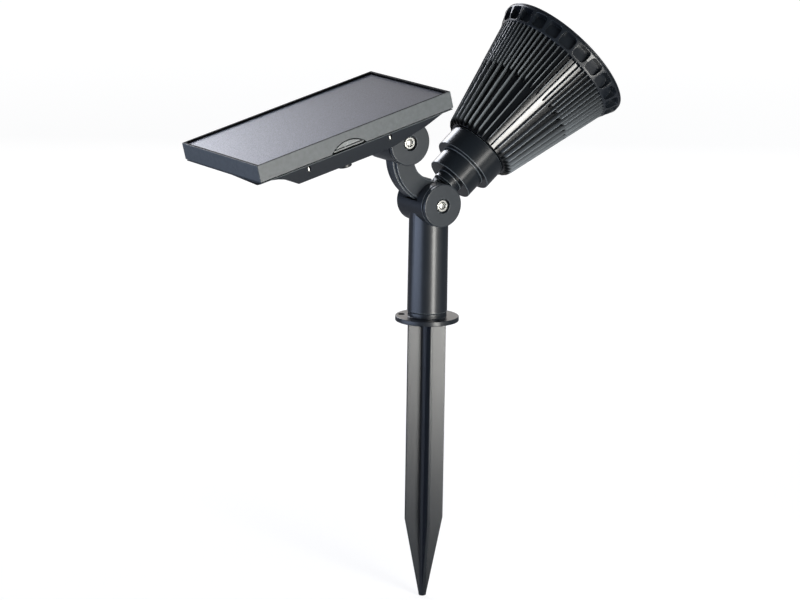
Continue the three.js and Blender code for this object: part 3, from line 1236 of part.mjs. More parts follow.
piece(lamp, "lamp_neck", lampNeck(), BLACK_ABS);
piece(lamp, "neck_seal", neckSeal(), RUBBER);
NECK_SCREW_PLACES.forEach((place, index) =>
  piece(lamp, `neck_screw_${index + 1}`, screw(place, NECK_HEAD_TOP, NECK_SCREW_LENGTH, -1), STEEL));
piece(lamp, "lamp_housing", lampHousing(), BLACK_ABS);
piece(lamp, "led_board", ledBoard(), BOARD_WHITE);
round(LEDS, LED_CIRCLE).forEach((place, index) => piece(lamp, `led_${index + 1}`, led(place), LED_YELLOW));
LED_SCREW_PLACES.forEach((place, index) => {
  const head = LED_BOARD_TOP + GAP / 2 + SCREW_HEAD_HEIGHT;
  piece(lamp, `led_screw_${index + 1}`, screw(place, head, LED_SCREW_LENGTH, -1), STEEL);
});
piece(lamp, "reflector", reflector(), CHROMED);
piece(lamp, "lens_gasket", lensGasket(), RUBBER);
piece(lamp, "front_lens", frontLens(), CLEAR);
piece(lamp, "bezel_ring", bezelRing(), BLACK_ABS);

export default light;
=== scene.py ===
"""Solar garden light: smooth forms, finishes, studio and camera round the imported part."""

import logging
import math
from collections.abc import Callable, Sequence
from dataclasses import dataclass, replace
from enum import Enum
from functools import partial

import bmesh
import bpy
import numpy as np
from mathutils import Matrix, Vector


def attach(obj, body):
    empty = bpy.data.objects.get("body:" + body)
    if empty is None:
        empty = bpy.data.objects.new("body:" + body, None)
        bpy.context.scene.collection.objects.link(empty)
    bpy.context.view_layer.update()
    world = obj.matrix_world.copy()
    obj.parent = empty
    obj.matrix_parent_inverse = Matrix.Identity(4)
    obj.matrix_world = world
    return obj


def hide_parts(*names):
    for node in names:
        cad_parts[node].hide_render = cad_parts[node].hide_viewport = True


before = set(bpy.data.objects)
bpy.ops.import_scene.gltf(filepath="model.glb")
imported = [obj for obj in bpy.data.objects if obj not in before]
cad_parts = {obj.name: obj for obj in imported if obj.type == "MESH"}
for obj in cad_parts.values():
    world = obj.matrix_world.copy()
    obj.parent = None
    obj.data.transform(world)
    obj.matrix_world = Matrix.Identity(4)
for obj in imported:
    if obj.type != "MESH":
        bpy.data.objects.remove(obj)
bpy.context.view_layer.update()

LOG = logging.getLogger("solar_garden_light")

Pair = tuple[float, float]
Place = tuple[float, float, float]
Adder = Callable[..., bpy.types.Node]

MILLIMETRE = 0.001
SMOOTH = 144  # sides of a large round form
FINE = 64  # sides of a small round form
HEAD_SIDES = 192  # sides of the lamp head's rings
SAMPLE_SIDES = 40  # sides of a small form that is repeated
BOWL_FACETS = 24  # of a reflector's bowl
CORNER_STEPS = 5  # of an outline's rounded corner
EDGE_STEPS = 2  # of a rounded edge
OVERRUN = 2.0  # reach of a cutter beyond what it cuts, in mm
MERGE_DISTANCE = 1e-4  # points closer than this become one, in mm
SHARP_ANGLE = math.radians(42)  # shading breaks at edges sharper than this
SOFT_ANGLE = math.radians(32)  # edges sharper than this are rounded
FLAT_ANGLE = math.radians(0.6)  # faces that bend less than this become one
ORIGIN = (0.0, 0.0)
NO_TURN = (0.0, 0.0, 0.0)
UPSIDE_DOWN = (math.pi, 0.0, 0.0)
FULL_SIZE = (1.0, 1.0, 1.0)
WHITE = (1.0, 1.0, 1.0, 1.0)
DRUM_OVERLAP = 0.5  # of a drum's wall into what carries it, in mm
PAINTED_HIGHLIGHT = "painted_highlight"  # attribute that says how much painted highlight a point gets, from 0 to 1
HIGHLIGHT_FACE_WIDTH = 0.2  # a face of a rounded edge is narrower than this, in mm


class Body(Enum):
    """Moving bodies of the light."""

    STAND = "stand"
    ARM = "panel_arm"
    PANEL = "solar_panel"
    BUTTON = "power_button"
    LAMP = "lamp_head"


class Slot(Enum):
    """Material slots of the record."""

    BLACK_PLASTIC = "black_plastic"
    BUTTON_PLASTIC = "button_plastic"
    HOLDER_PLASTIC = "holder_plastic"
    CELL_SHEET = "cell_sheet"
    SMOKED_INSERT = "smoked_insert"
    SEAL_RUBBER = "seal_rubber"
    BRIGHT_STEEL = "bright_steel"
    WASHER_NYLON = "washer_nylon"
    CELL_CAN = "cell_can"
    BOARD_GREEN = "board_green"
    LED_BOARD_METAL = "led_board_metal"
    LED_RESIN = "led_resin"
    METALLISED_PLASTIC = "metallised_plastic"
    CLEAR_PLASTIC = "clear_plastic"


class Join(Enum):
    """How a solid is combined with another one."""

    ADD = "UNION"
    CUT = "DIFFERENCE"
    SHARE = "INTERSECT"


class Kind(Enum):
    """Kinds of node."""

    PLACES = "ShaderNodeTexCoord"
    NOISE = "ShaderNodeTexNoise"
    VORONOI = "ShaderNodeTexVoronoi"
    MIX = "ShaderNodeMix"
    RANGE = "ShaderNodeMapRange"
    MAPPING = "ShaderNodeMapping"
    ATTRIBUTE = "ShaderNodeAttribute"
    BUMP = "ShaderNodeBump"
    PRINCIPLED = "ShaderNodeBsdfPrincipled"
    OUTPUT = "ShaderNodeOutputMaterial"
    SEPARATE = "ShaderNodeSeparateXYZ"
    COMBINE = "ShaderNodeCombineXYZ"
    MATH = "ShaderNodeMath"
    VECTOR_MATH = "ShaderNodeVectorMath"
    LIGHT_PATH = "ShaderNodeLightPath"
    BACKGROUND = "ShaderNodeBackground"
    WORLD_OUTPUT = "ShaderNodeOutputWorld"
    GROUP_INPUT = "NodeGroupInput"
    GROUP_OUTPUT = "NodeGroupOutput"
    REALIZE = "GeometryNodeRealizeInstances"
    SET_MATERIAL = "GeometryNodeSetMaterial"
    CUBE = "GeometryNodeMeshCube"
    POSITION = "GeometryNodeInputPosition"
    SET_POSITION = "GeometryNodeSetPosition"
    POINTS = "GeometryNodePoints"
    INDEX = "GeometryNodeInputIndex"
    INSTANCES = "GeometryNodeInstanceOnPoints"
    OBJECT = "GeometryNodeObjectInfo"


# Solids, in millimetres
@dataclass
class Shape:
    """Points and faces of closed solids, in millimetres."""

    points: np.ndarray
    faces: list[tuple[int, ...]]

    def moved(self, matrix: Matrix) -> "Shape":
        """Returns a copy that a matrix has moved.

        Args:
            matrix: The move, as a 4 x 4 matrix.

        Returns:
            The moved copy.
        """
        grid = np.array(matrix)
        return Shape(self.points @ grid[:3, :3].T + grid[:3, 3], list(self.faces))

    def beside(self, *others: "Shape") -> "Shape":
        """Returns one shape that holds this one and others which it doesn't touch.

        Args:
            others: The other shapes.

        Returns:
            All of them as one shape.
        """
        points = [self.points]
        faces = list(self.faces)
        count = len(self.points)
        for other in others:
            faces += [tuple(count + index for index in face) for face in other.faces]
            points.append(other.points)
            count += len(other.points)
        return Shape(np.concatenate(points), faces)


def arc(centre: Pair, radius: float, start: float, end: float, steps: int) -> list[Pair]:
    """Points of an arc.

    Args:
        centre: Its centre.
        radius: Its radius.
        start: First angle in degrees.
        end: Last angle in degrees.
        steps: Number of steps between them.

    Returns:
        The points in order.
    """
    angles = [math.radians(start + (end - start) * step / steps) for step in range(steps + 1)]
    return [(centre[0] + radius * math.cos(a), centre[1] + radius * math.sin(a)) for a in angles]


def rounded(corners: Sequence[tuple[float, ...]]) -> list[Pair]:
    """Rounds the corners of a closed outline.

    Args:
        corners: (a, b) for a sharp corner, or (a, b, radius) for a round one.

    Returns:
        The outline's points.
    """
    outline: list[Pair] = []
    for index, corner in enumerate(corners):
        here = Vector(corner[:2])
        if len(corner) == 2:
            outline.append((here.x, here.y))
            continue
        before = Vector(corners[index - 1][:2]) - here
        after = Vector(corners[(index + 1) % len(corners)][:2]) - here
        half = before.angle(after) / 2
        reach = min(corner[2] / math.tan(half), 0.49 * before.length, 0.49 * after.length)
        first = here + before.normalized() * reach
        last = here + after.normalized() * reach
        for step in range(CORNER_STEPS + 1):
            t = step / CORNER_STEPS
            point = first * (1 - t) ** 2 + here * (2 * t * (1 - t)) + last * t**2
            outline.append((point.x, point.y))
    return outline


def turned(outline: Sequence[Pair], sides: int = SMOOTH, span: Pair = (0.0, 360.0)) -> Shape:
    """Turns a closed outline about Z.

    Args:
        outline: (radius, height) points.
        sides: Number of steps round the axis.
        span: First and last angle in degrees.

    Returns:
        The turned solid.
    """
    whole = abs(span[1] - span[0]) >= 360
    rings = sides if whole else sides + 1
    count = len(outline)
    angles = np.radians(np.linspace(span[0], span[1], sides + 1)[:rings])
    radii, heights = np.array(outline).T
    points = np.stack(
        [
            np.outer(np.cos(angles), radii).ravel(),
            np.outer(np.sin(angles), radii).ravel(),
            np.tile(heights, rings),
        ],
        axis=1,
    )
    faces: list[tuple[int, ...]] = []
    for side in range(sides):
        here, there = side * count, ((side + 1) % rings) * count
        for index in range(count):
            after = (index + 1) % count
            if radii[index] or radii[after]:
                faces.append((here + index, there + index, there + after, here + after))
    if not whole:
        faces += [tuple(range(count)), tuple(range(sides * count, (sides + 1) * count))]
    return Shape(points, faces)


def prism(outline: Sequence[Pair], low: float, high: float) -> Shape:
    """Extrudes a closed outline of (x, y) points along Z.

    Args:
        outline: The outline.
        low: Height of its underside.
        high: Height of its top.

    Returns:
        The prism.
    """
    count = len(outline)
    points = [(x, y, low) for x, y in outline] + [(x, y, high) for x, y in outline]
    sides = [(i, (i + 1) % count, count + (i + 1) % count, count + i) for i in range(count)]
    return Shape(np.array(points), [tuple(range(count)), tuple(range(count, 2 * count)), *sides])


def slab(low: Place, high: Place) -> Shape:
    """A block between two corners."""
    corners = [(low[0], low[1]), (high[0], low[1]), (high[0], high[1]), (low[0], high[1])]
    return prism(corners, low[2], high[2])


def rod(radius: float, low: float, high: float) -> Shape:
    """A round bar along Z between two heights."""
    return turned([(0.0, low), (radius, low), (radius, high), (0.0, high)], FINE)


def box_outline(length: float, width: float, corner: float, middle: Pair = ORIGIN) -> list[Pair]:
    """Outline of a rectangle with round corners.

    Args:
        length: Its size along the first axis.
        width: Its size along the second axis.
        corner: Radius of its corners.
        middle: Its middle.

    Returns:
        The outline's points.
    """
    x, y = length / 2, width / 2
    places = [(x, y), (-x, y), (-x, -y), (x, -y)]
    return rounded([(middle[0] + a, middle[1] + b, corner) for a, b in places])


ALONG_Y = Matrix.Rotation(math.radians(-90), 4, "X")  # turns a shape's Z to +Y
ALONG_X = Matrix(((0, 0, 1, 0), (1, 0, 0, 0), (0, 1, 0, 0), (0, 0, 0, 1)))  # x, y, z to y, z, x


def along_y(outline: Sequence[Pair], low: float, high: float) -> Shape:
    """An outline of (x, z) points extruded along Y between two places."""
    flipped = [(x, -z) for x, z in outline]
    return prism(flipped, low, high).moved(ALONG_Y)


def solid(shape: Shape, name: str = "blank") -> bpy.types.Object:
    """Makes an object from a shape, with its doubles merged and its faces turned outwards.

    Args:
        shape: The shape.
        name: Name of the object.

    Returns:
        The object, linked to the scene.
    """
    mesh = bpy.data.meshes.new(name)
    mesh.from_pydata(shape.points.tolist(), [], shape.faces)
    work = bmesh.new()
    work.from_mesh(mesh)
    bmesh.ops.remove_doubles(work, verts=work.verts, dist=MERGE_DISTANCE)
    bmesh.ops.recalc_face_normals(work, faces=work.faces)
    work.to_mesh(mesh)
    work.free()
    body = bpy.data.objects.new(name, mesh)
    bpy.context.scene.collection.objects.link(body)
    return body


def settle(body: bpy.types.Object) -> None:
    """Turns an object's live modifiers into its mesh.

    Args:
        body: The object.
    """
    depsgraph = bpy.context.evaluated_depsgraph_get()
    shaped = bpy.data.meshes.new_from_object(body.evaluated_get(depsgraph), depsgraph=depsgraph)
    old = body.data
    body.modifiers.clear()
    body.data = shaped
    bpy.data.meshes.remove(old)


def discard(body: bpy.types.Object) -> None:
    """Deletes an object and its mesh.

    Args:
        body: The object.
    """
    mesh = body.data
    bpy.data.objects.remove(body)
    bpy.data.meshes.remove(mesh)


def shape_of(body: bpy.types.Object) -> Shape:
    """Reads an object's mesh back as a shape.

    Args:
        body: The object.

    Returns:
        Its points and faces.
    """
    mesh = body.data
    points = np.array([tuple(vertex.co) for vertex in mesh.vertices])
    return Shape(points, [tuple(polygon.vertices) for polygon in mesh.polygons])


def taken(body: bpy.types.Object) -> Shape:
    """Reads an object's mesh back as a shape and deletes the object.

    Args:
        body: The object.

    Returns:
        Its points and faces.
    """
    shape = shape_of(body)
    discard(body)
    return shape


def combine(body: bpy.types.Object, how: Join, *shapes: Shape) -> bpy.types.Object:
    """Adds, cuts or shares solids, one after another.

    Args:
        body: The object that changes.
        how: What is done with each shape.
        shapes: The other solids.

    Returns:
        The same object.
    """
    for shape in shapes:
        tool = solid(shape, "tool")
        change = body.modifiers.new("combine", "BOOLEAN")
        change.operation = how.value
        change.solver = "EXACT"
        change.object = tool
        settle(body)
        discard(tool)
    return body


def soften(body: bpy.types.Object, width: float) -> bpy.types.Object:
    """Rounds an object's sharp edges.

    Args:
        body: The object.
        width: Width of the rounding in mm.

    Returns:
        The same object.
    """
    work = bmesh.new()
    work.from_mesh(body.data)
    bmesh.ops.dissolve_limit(work, angle_limit=FLAT_ANGLE, verts=work.verts, edges=work.edges)
    work.to_mesh(body.data)
    work.free()
    bevel = body.modifiers.new("soften", "BEVEL")
    bevel.width = width
    bevel.segments = EDGE_STEPS
    bevel.limit_method = "ANGLE"
    bevel.angle_limit = SOFT_ANGLE
    bevel.use_clamp_overlap = False
    settle(body)
    return body


# Nodes
def linear(colour: str) -> tuple[float, float, float, float]:
    """Turns an sRGB hex colour to linear values.

    Args:
        colour: The colour as "#rrggbb".

    Returns:
        Red, green, blue and an alpha of 1.
    """
    parts = [int(colour[start : start + 2], 16) / 255 for start in (1, 3, 5)]
    values = [p / 12.92 if p <= 0.04045 else ((p + 0.055) / 1.055) ** 2.4 for p in parts]
    return (values[0], values[1], values[2], 1.0)


def add_node(
    tree: bpy.types.NodeTree, kind: Kind, inputs: dict | None = None, **settings: object
) -> bpy.types.Node:
    """Adds a node with its settings, values and links.

    Args:
        tree: The tree that gets the node.
        kind: The node's kind.
        inputs: For each input's name or number, a value, a node or an output to link.
        settings: Properties of the node.

    Returns:
        The new node.
    """
    node = tree.nodes.new(kind.value)
    for name, value in settings.items():
        setattr(node, name, value)
    for key, value in (inputs or {}).items():
        if isinstance(value, bpy.types.Node):
            value = value.outputs[0]
        if isinstance(value, bpy.types.NodeSocket):
            tree.links.new(value, node.inputs[key])
        else:
            node.inputs[key].default_value = value
    return node


def new_material(name: str) -> tuple[bpy.types.Material, Adder, bpy.types.NodeSocket]:
    """Starts a node material.

    Args:
        name: The material's name.

    Returns:
        The material, a function that adds nodes to it and the output with object coordinates.
    """
    material = bpy.data.materials.new(name)
    material.use_nodes = True
    tree = material.node_tree
    tree.nodes.clear()
    add = partial(add_node, tree)
    return material, add, add(Kind.PLACES).outputs["Object"]


def grain_scale(size: float) -> float:
    """Scale of a noise whose grains have a size in mm, for coordinates in metres."""
    return 1 / (size * MILLIMETRE)


@dataclass(frozen=True)
class MouldedPlastic:
    """Injection-moulded plastic: a fine eroded grain from the mould and faint flow marks."""

    name: str
    slot: Slot
    colour: str
    flow_colour: str
    roughness: float
    grain: float
    relief: float
    flow_size: float = 14.0
    rubbing: float = 0.07
    gloss_level: float = 0.5
    highlight_colour: str = ""

    def material(self) -> bpy.types.Material:
        """Builds the material: flow marks tint it, the grain breaks its gloss.

        Returns:
            The material.
        """
        material, add, where = new_material(self.name)
        flow = add(
            Kind.NOISE, {"Vector": where, "Scale": grain_scale(self.flow_size), "Detail": 3.0}
        )
        tone = add(
            Kind.MIX,
            {"Factor": flow, 6: linear(self.colour), 7: linear(self.flow_colour)},
            data_type="RGBA",
        )
        # Painted highlight: points that the attribute marks get a paler colour.
        if self.highlight_colour:
            painted_highlight = add(Kind.ATTRIBUTE, attribute_name=PAINTED_HIGHLIGHT)
            tone = add(
                Kind.MIX,
                {"Factor": painted_highlight.outputs["Fac"], 6: tone.outputs[2], 7: linear(self.highlight_colour)},
                data_type="RGBA",
            )
        smear = add(
            Kind.NOISE, {"Vector": where, "Scale": grain_scale(self.flow_size / 5), "Detail": 5.0}
        )
        gloss = add(
            Kind.RANGE,
            {
                "Value": smear,
                "To Min": self.roughness - self.rubbing,
                "To Max": self.roughness + self.rubbing,
            },
        )
        grain = add(Kind.NOISE, {"Vector": where, "Scale": grain_scale(self.grain), "Detail": 2.0})
        bump = add(Kind.BUMP, {"Distance": self.relief * MILLIMETRE, "Height": grain})
        shader = add(
            Kind.PRINCIPLED,
            {
                "Base Color": tone.outputs[2],
                "Roughness": gloss,
                "Normal": bump,
                "IOR": 1.5,
                "Specular IOR Level": self.gloss_level,
            },
        )
        add(Kind.OUTPUT, {"Surface": shader})
        return material


@dataclass(frozen=True)
class PlatedMetal:
    """Turned or pressed metal with a thin plating: fine tool marks and slight dulling."""

    name: str
    slot: Slot
    colour: str
    dull_colour: str
    roughness: float
    mark_size: float
    relief: float

    def material(self) -> bpy.types.Material:
        """Builds the material: streaks of the tool in its gloss, dull patches in its colour.

        Returns:
            The material.
        """
        material, add, where = new_material(self.name)
        streaks = add(Kind.MAPPING, {"Vector": where, "Scale": (1.0, 0.15, 1.0)})
        marks = add(
            Kind.NOISE, {"Vector": streaks, "Scale": grain_scale(self.mark_size), "Detail": 4.0}
        )
        dulling = add(
            Kind.NOISE, {"Vector": where, "Scale": grain_scale(self.mark_size * 8), "Detail": 4.0}
        )
        tone = add(
            Kind.MIX,
            {"Factor": dulling, 6: linear(self.colour), 7: linear(self.dull_colour)},
            data_type="RGBA",
        )
        gloss = add(
            Kind.RANGE,
            {"Value": marks, "To Min": self.roughness * 0.6, "To Max": self.roughness * 1.4},
        )
        bump = add(Kind.BUMP, {"Distance": self.relief * MILLIMETRE, "Height": marks})
        shader = add(
            Kind.PRINCIPLED,
            {"Base Color": tone.outputs[2], "Metallic": 1.0, "Roughness": gloss, "Normal": bump},
        )
        add(Kind.OUTPUT, {"Surface": shader})
        return material


@dataclass(frozen=True)
class CellFilm:
    """Silicon cells under an embossed clear film: sparkling grains in grey and violet."""

    name: str
    slot: Slot
    deep: str
    bright: str
    sheen_far_tone: str
    grain: float
    length: float
    sheen_start: float = 20.0
    roughness: float = 0.42
    emboss: float = 0.02
    coat: float = 0.15
    coat_roughness: float = 0.35

    def material(self) -> bpy.types.Material:
        """Builds the material: crystal grains, a painted sheen that leaves one end of the sheet
        lighter and the other darker, and the film's emboss.

        Returns:
            The material.
        """
        material, add, where = new_material(self.name)
        crystals = add(Kind.VORONOI, {"Vector": where, "Scale": grain_scale(self.grain)})
        speckle = add(
            Kind.NOISE, {"Vector": where, "Scale": grain_scale(self.grain * 0.7), "Detail": 3.0}
        )
        sparkle = add(Kind.RANGE, {"Value": speckle, "From Min": 0.36, "From Max": 0.64})
        shade = add(Kind.MIX, {"Factor": 0.35, 2: sparkle, 3: crystals.outputs["Distance"]})
        tone = add(
            Kind.MIX,
            {"Factor": shade, 6: linear(self.deep), 7: linear(self.bright)},
            data_type="RGBA",
        )
        # Painted sheen: the colour is multiplied towards a darker tone along the sheet's length,
        # so that one end looks lit by a lamp's reflection.
        along = add(Kind.SEPARATE, {"Vector": where})
        sheen_fade = add(
            Kind.RANGE,
            {
                "Value": along,
                "From Min": -(self.length + self.sheen_start) * MILLIMETRE,
                "From Max": -self.sheen_start * MILLIMETRE,
                "To Max": 0.9,
            },
        )
        final = add(
            Kind.MIX,
            {"Factor": sheen_fade, 6: tone.outputs[2], 7: linear(self.sheen_far_tone)},
            data_type="RGBA",
            blend_type="MULTIPLY",
        )
        bump = add(Kind.BUMP, {"Distance": self.emboss * MILLIMETRE, "Height": speckle})
        shader = add(
            Kind.PRINCIPLED,
            {
                "Base Color": final.outputs[2],
                "Roughness": self.roughness,
                "Normal": bump,
                "Coat Weight": self.coat,
                "Coat Roughness": self.coat_roughness,
            },
        )
        add(Kind.OUTPUT, {"Surface": shader})
        return material


@dataclass(frozen=True)
class ClearPolycarbonate:
    """Moulded clear plastic: glass-like, with a trace of flow in its gloss."""

    name: str
    slot: Slot
    colour: str
    roughness: float
    flow_size: float = 9.0

    def material(self) -> bpy.types.Material:
        """Builds the material: clear, with the flow in its gloss.

        Returns:
            The material.
        """
        material, add, where = new_material(self.name)
        flow = add(
            Kind.NOISE, {"Vector": where, "Scale": grain_scale(self.flow_size), "Detail": 2.0}
        )
        gloss = add(
            Kind.RANGE,
            {"Value": flow, "To Min": self.roughness * 0.5, "To Max": self.roughness * 1.5},
        )
        shader = add(
            Kind.PRINCIPLED,
            {
                "Base Color": linear(self.colour),
                "Roughness": gloss,
                "IOR": 1.58,
                "Transmission Weight": 1.0,
            },
        )
        add(Kind.OUTPUT, {"Surface": shader})
        return material


# ABS from an eroded mould: satin black with a blue cast, soft long highlights.
BLACK_ABS = MouldedPlastic(
    "satin_black_abs", Slot.BLACK_PLASTIC, "#12161b", "#171c22", 0.33, 0.45, 0.004, rubbing=0.04
)
# The same ABS from a polished mould, for the neck: crisp, narrow highlights.
NECK_ABS = MouldedPlastic(
    "polished_black_abs", Slot.BLACK_PLASTIC, "#0f1317", "#14191e", 0.26, 0.6, 0.0004, rubbing=0.02
)
# The same ABS on the cooling fins, painted darker as painted shade between them, with a painted
# highlight on their edges: a thin pale line on each.
FIN_ABS = MouldedPlastic(
    "fin_abs_painted_shade_and_highlight", Slot.BLACK_PLASTIC, "#07090b", "#0b0e11", 0.3, 0.6, 0.0004, rubbing=0.02,
    gloss_level=0.3, highlight_colour="#7a8085",
)
# The same ABS between the fins, as glossy as they are, painted deep black: painted shade between
# the fins.
GAP_ABS = MouldedPlastic(
    "gap_abs_painted_shade", Slot.BLACK_PLASTIC, "#090b0e", "#0d1013", 0.2, 0.6, 0.0006, rubbing=0.03
)
# The same ABS from a blasted mould, for the arm and the pivots' caps: greyer and duller.
MATT_ABS = MouldedPlastic(
    "matt_black_abs", Slot.BLACK_PLASTIC, "#1f2429", "#272c31", 0.34, 0.5, 0.012, rubbing=0.05
)
# Any of these on the narrow faces of a rounded edge: a thin grey line of painted highlight.
EDGE_HIGHLIGHT_ABS = MouldedPlastic(
    "painted_edge_highlight_abs", Slot.BLACK_PLASTIC, "#3f454a", "#4a5055", 0.3, 0.6, 0.0004, rubbing=0.03
)
# ABS from a coarser mould, for the panel's frame: grey black, matt, visible grain.
FRAME_ABS = MouldedPlastic(
    "grained_grey_abs", Slot.BLACK_PLASTIC, "#32383b", "#4c5154", 0.5, 0.6, 0.045, 2.6
)
# The frame's lip, its top and inner walls: a near-black, dull copy of the frame's ABS.
LIP_ABS = MouldedPlastic(
    "lip_black_abs", Slot.BLACK_PLASTIC, "#08090b", "#0c0d0f", 0.65, 0.4, 0.004, gloss_level=0.1
)
# ABS from an eroded mould, for the button: deep black with a satin face.
BUTTON_ABS = MouldedPlastic(
    "satin_button_abs", Slot.BUTTON_PLASTIC, "#111316", "#15171a", 0.42, 0.5, 0.003
)
# Polypropylene, moulded: matt black with a waxy sheen.
BLACK_POLYPROPYLENE = MouldedPlastic(
    "black_polypropylene", Slot.HOLDER_PLASTIC, "#141414", "#1c1c1c", 0.5, 0.5, 0.01
)
# Smoked acrylic with an eroded inside: mid grey, grained.
SMOKED_ACRYLIC = MouldedPlastic(
    "smoked_acrylic", Slot.SMOKED_INSERT, "#575b5c", "#75797a", 0.35, 0.55, 0.03, 1.2
)
# Silicone rubber, moulded: dull and dark.
SILICONE = MouldedPlastic(
    "dark_silicone", Slot.SEAL_RUBBER, "#141415", "#1c1c1e", 0.8, 0.3, 0.01, 4.0
)
# Polyamide washer, cut from sheet: off-white, waxy.
NYLON = MouldedPlastic("white_nylon", Slot.WASHER_NYLON, "#dedbd0", "#e9e7df", 0.5, 0.4, 0.01)
# Shrink sleeve of a battery: glossy blue film.
BATTERY_SLEEVE = MouldedPlastic(
    "blue_shrink_sleeve", Slot.CELL_CAN, "#2b67a6", "#3374b8", 0.25, 1.2, 0.004
)
# Glass-fibre board under solder mask: green, woven relief just visible.
SOLDER_MASK = MouldedPlastic(
    "green_solder_mask", Slot.BOARD_GREEN, "#1a5434", "#226641", 0.4, 0.5, 0.01, 3.0
)
# Aluminium board under white lacquer.
WHITE_LACQUER = MouldedPlastic(
    "white_board_lacquer", Slot.LED_BOARD_METAL, "#e2e2de", "#ecece8", 0.4, 0.4, 0.004
)
# Silicone with yellow phosphor, poured: warm yellow, glossy.
PHOSPHOR_RESIN = MouldedPlastic(
    "yellow_phosphor_resin", Slot.LED_RESIN, "#e2c14e", "#f0d774", 0.25, 0.3, 0.004, 1.0
)
# Nickel-plated steel, turned or pressed: bright, slightly warm.
NICKEL_STEEL = PlatedMetal(
    "nickel_plated_steel", Slot.BRIGHT_STEEL, "#dededa", "#c9c9c4", 0.3, 0.6, 0.0001
)
# Aluminium vapour on moulded plastic: mirror-like.
VACUUM_ALUMINIUM = PlatedMetal(
    "vacuum_metallised_plastic", Slot.METALLISED_PLASTIC, "#dcdddd", "#cfd0d1", 0.1, 1.5, 0.001
)
# Polycrystalline cells under embossed film: grey violet, sparkling.
SOLAR_FILM = CellFilm(
    "embossed_cell_film", Slot.CELL_SHEET, "#3b3f4f", "#868ba0", "#7f828a", 0.8, 138.7
)
# Polycarbonate lens: clear.
CLEAR_LENS = ClearPolycarbonate("clear_polycarbonate", Slot.CLEAR_PLASTIC, "#f4f7f8", 0.03)

Finish = MouldedPlastic | PlatedMetal | CellFilm | ClearPolycarbonate
_materials: dict[str, bpy.types.Material] = {}


def material_of(finish: Finish) -> bpy.types.Material:
    """Gives a finish's material, and builds it the first time.

    Args:
        finish: The finish.

    Returns:
        Its material.
    """
    if finish.name not in _materials:
        _materials[finish.name] = finish.material()
    return _materials[finish.name]


def paint_edge_highlights(body: bpy.types.Object, finish: Finish) -> bpy.types.Object:
    """Gives an object its finish, and the narrow faces of its rounded edges a paler one, as
    painted highlight.

    Args:
        body: The object.
        finish: Its finish.

    Returns:
        The same object.
    """
    mesh = body.data
    mesh.materials.clear()
    mesh.materials.append(material_of(finish))
    # Painted highlight: the narrow faces of rounded edges get the paler grey finish.
    mesh.materials.append(material_of(EDGE_HIGHLIGHT_ABS))
    points = shape_of(body).points
    for polygon in mesh.polygons:
        ring = points[list(polygon.vertices)]
        longest = np.linalg.norm(ring - np.roll(ring, 1, axis=0), axis=1).max()
        polygon.material_index = int(polygon.area < longest * HIGHLIGHT_FACE_WIDTH)
    return body


def finish_piece(
    piece: bpy.types.Object,
    name: str,
    place: Matrix,
    finish: Finish,
    body: Body,
    stands_for: Sequence[str],
) -> None:
    """Puts a solid in its place, smooths and dresses it, and ties it to its body.

    Args:
        piece: The solid, in the millimetres of its own frame.
        name: The piece's name.
        place: Matrix from its frame's millimetres to the scene's metres.
        finish: Its finish.
        body: The body that it moves with.
        stands_for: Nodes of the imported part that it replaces, if any.
    """
    mesh = piece.data
    mesh.transform(place)
    mesh.polygons.foreach_set("use_smooth", [True] * len(mesh.polygons))
    mesh.set_sharp_from_angle(angle=SHARP_ANGLE)
    weighted = piece.modifiers.new("flat faces", "WEIGHTED_NORMAL")
    weighted.keep_sharp = True
    weighted.weight = 100
    settle(piece)
    piece.name = name
    piece.data.name = name
    if len(piece.data.materials) < 2:
        piece.data.materials.clear()
        piece.data.materials.append(material_of(finish))
    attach(piece, body.value)
    if stands_for:
        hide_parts(*stands_for)
    LOG.info("%s: %d faces on %s", name, len(piece.data.polygons), body.value)


def dress_nodes(finish: Finish, *names: str) -> None:
    """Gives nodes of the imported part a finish, and leaves their meshes as they are.

    Args:
        finish: The finish.
        names: The nodes' names.
    """
    for name in names:
        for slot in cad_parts[name].material_slots:
            slot.material = material_of(finish)
        LOG.info("%s: kept, with %s", name, finish.name)


# Geometry node trees
def start_tree(name: str, sockets: dict[str, str]) -> tuple[bpy.types.NodeTree, bpy.types.Node]:
    """Starts a geometry node tree with named inputs.

    Args:
        name: The tree's name.
        sockets: The type of each input, by its name.

    Returns:
        The tree and its input node.
    """
    tree = bpy.data.node_groups.new(name, "GeometryNodeTree")
    tree.interface.new_socket(name="Geometry", in_out="OUTPUT", socket_type="NodeSocketGeometry")
    tree.interface.new_socket(name="Geometry", in_out="INPUT", socket_type="NodeSocketGeometry")
    for label, kind in sockets.items():
        tree.interface.new_socket(name=label, in_out="INPUT", socket_type=kind)
    return tree, add_node(tree, Kind.GROUP_INPUT)


def end_tree(tree: bpy.types.NodeTree, instances: bpy.types.Node, given: bpy.types.Node) -> None:
    """Ends a tree: its instances are made real and get their material.

    Args:
        tree: The tree.
        instances: The node that gives the instances.
        given: The tree's input node.
    """
    add = partial(add_node, tree)
    real = add(Kind.REALIZE, {0: instances})
    dressed = add(Kind.SET_MATERIAL, {"Geometry": real, "Material": given.outputs["Finish"]})
    add(Kind.GROUP_OUTPUT, {0: dressed})


def grow(body: bpy.types.Object, tree: bpy.types.NodeTree, values: dict[str, object]) -> None:
    """Puts a tree on an object, sets its inputs by their identifiers and settles it.

    Args:
        body: The object.
        tree: The tree.
        values: The value of each input, by its name.
    """
    growth = body.modifiers.new(tree.name, "NODES")
    growth.node_group = tree
    for item in tree.interface.items_tree:
        if item.in_out == "INPUT" and item.name in values:
            growth[item.identifier] = values[item.name]
    settle(body)


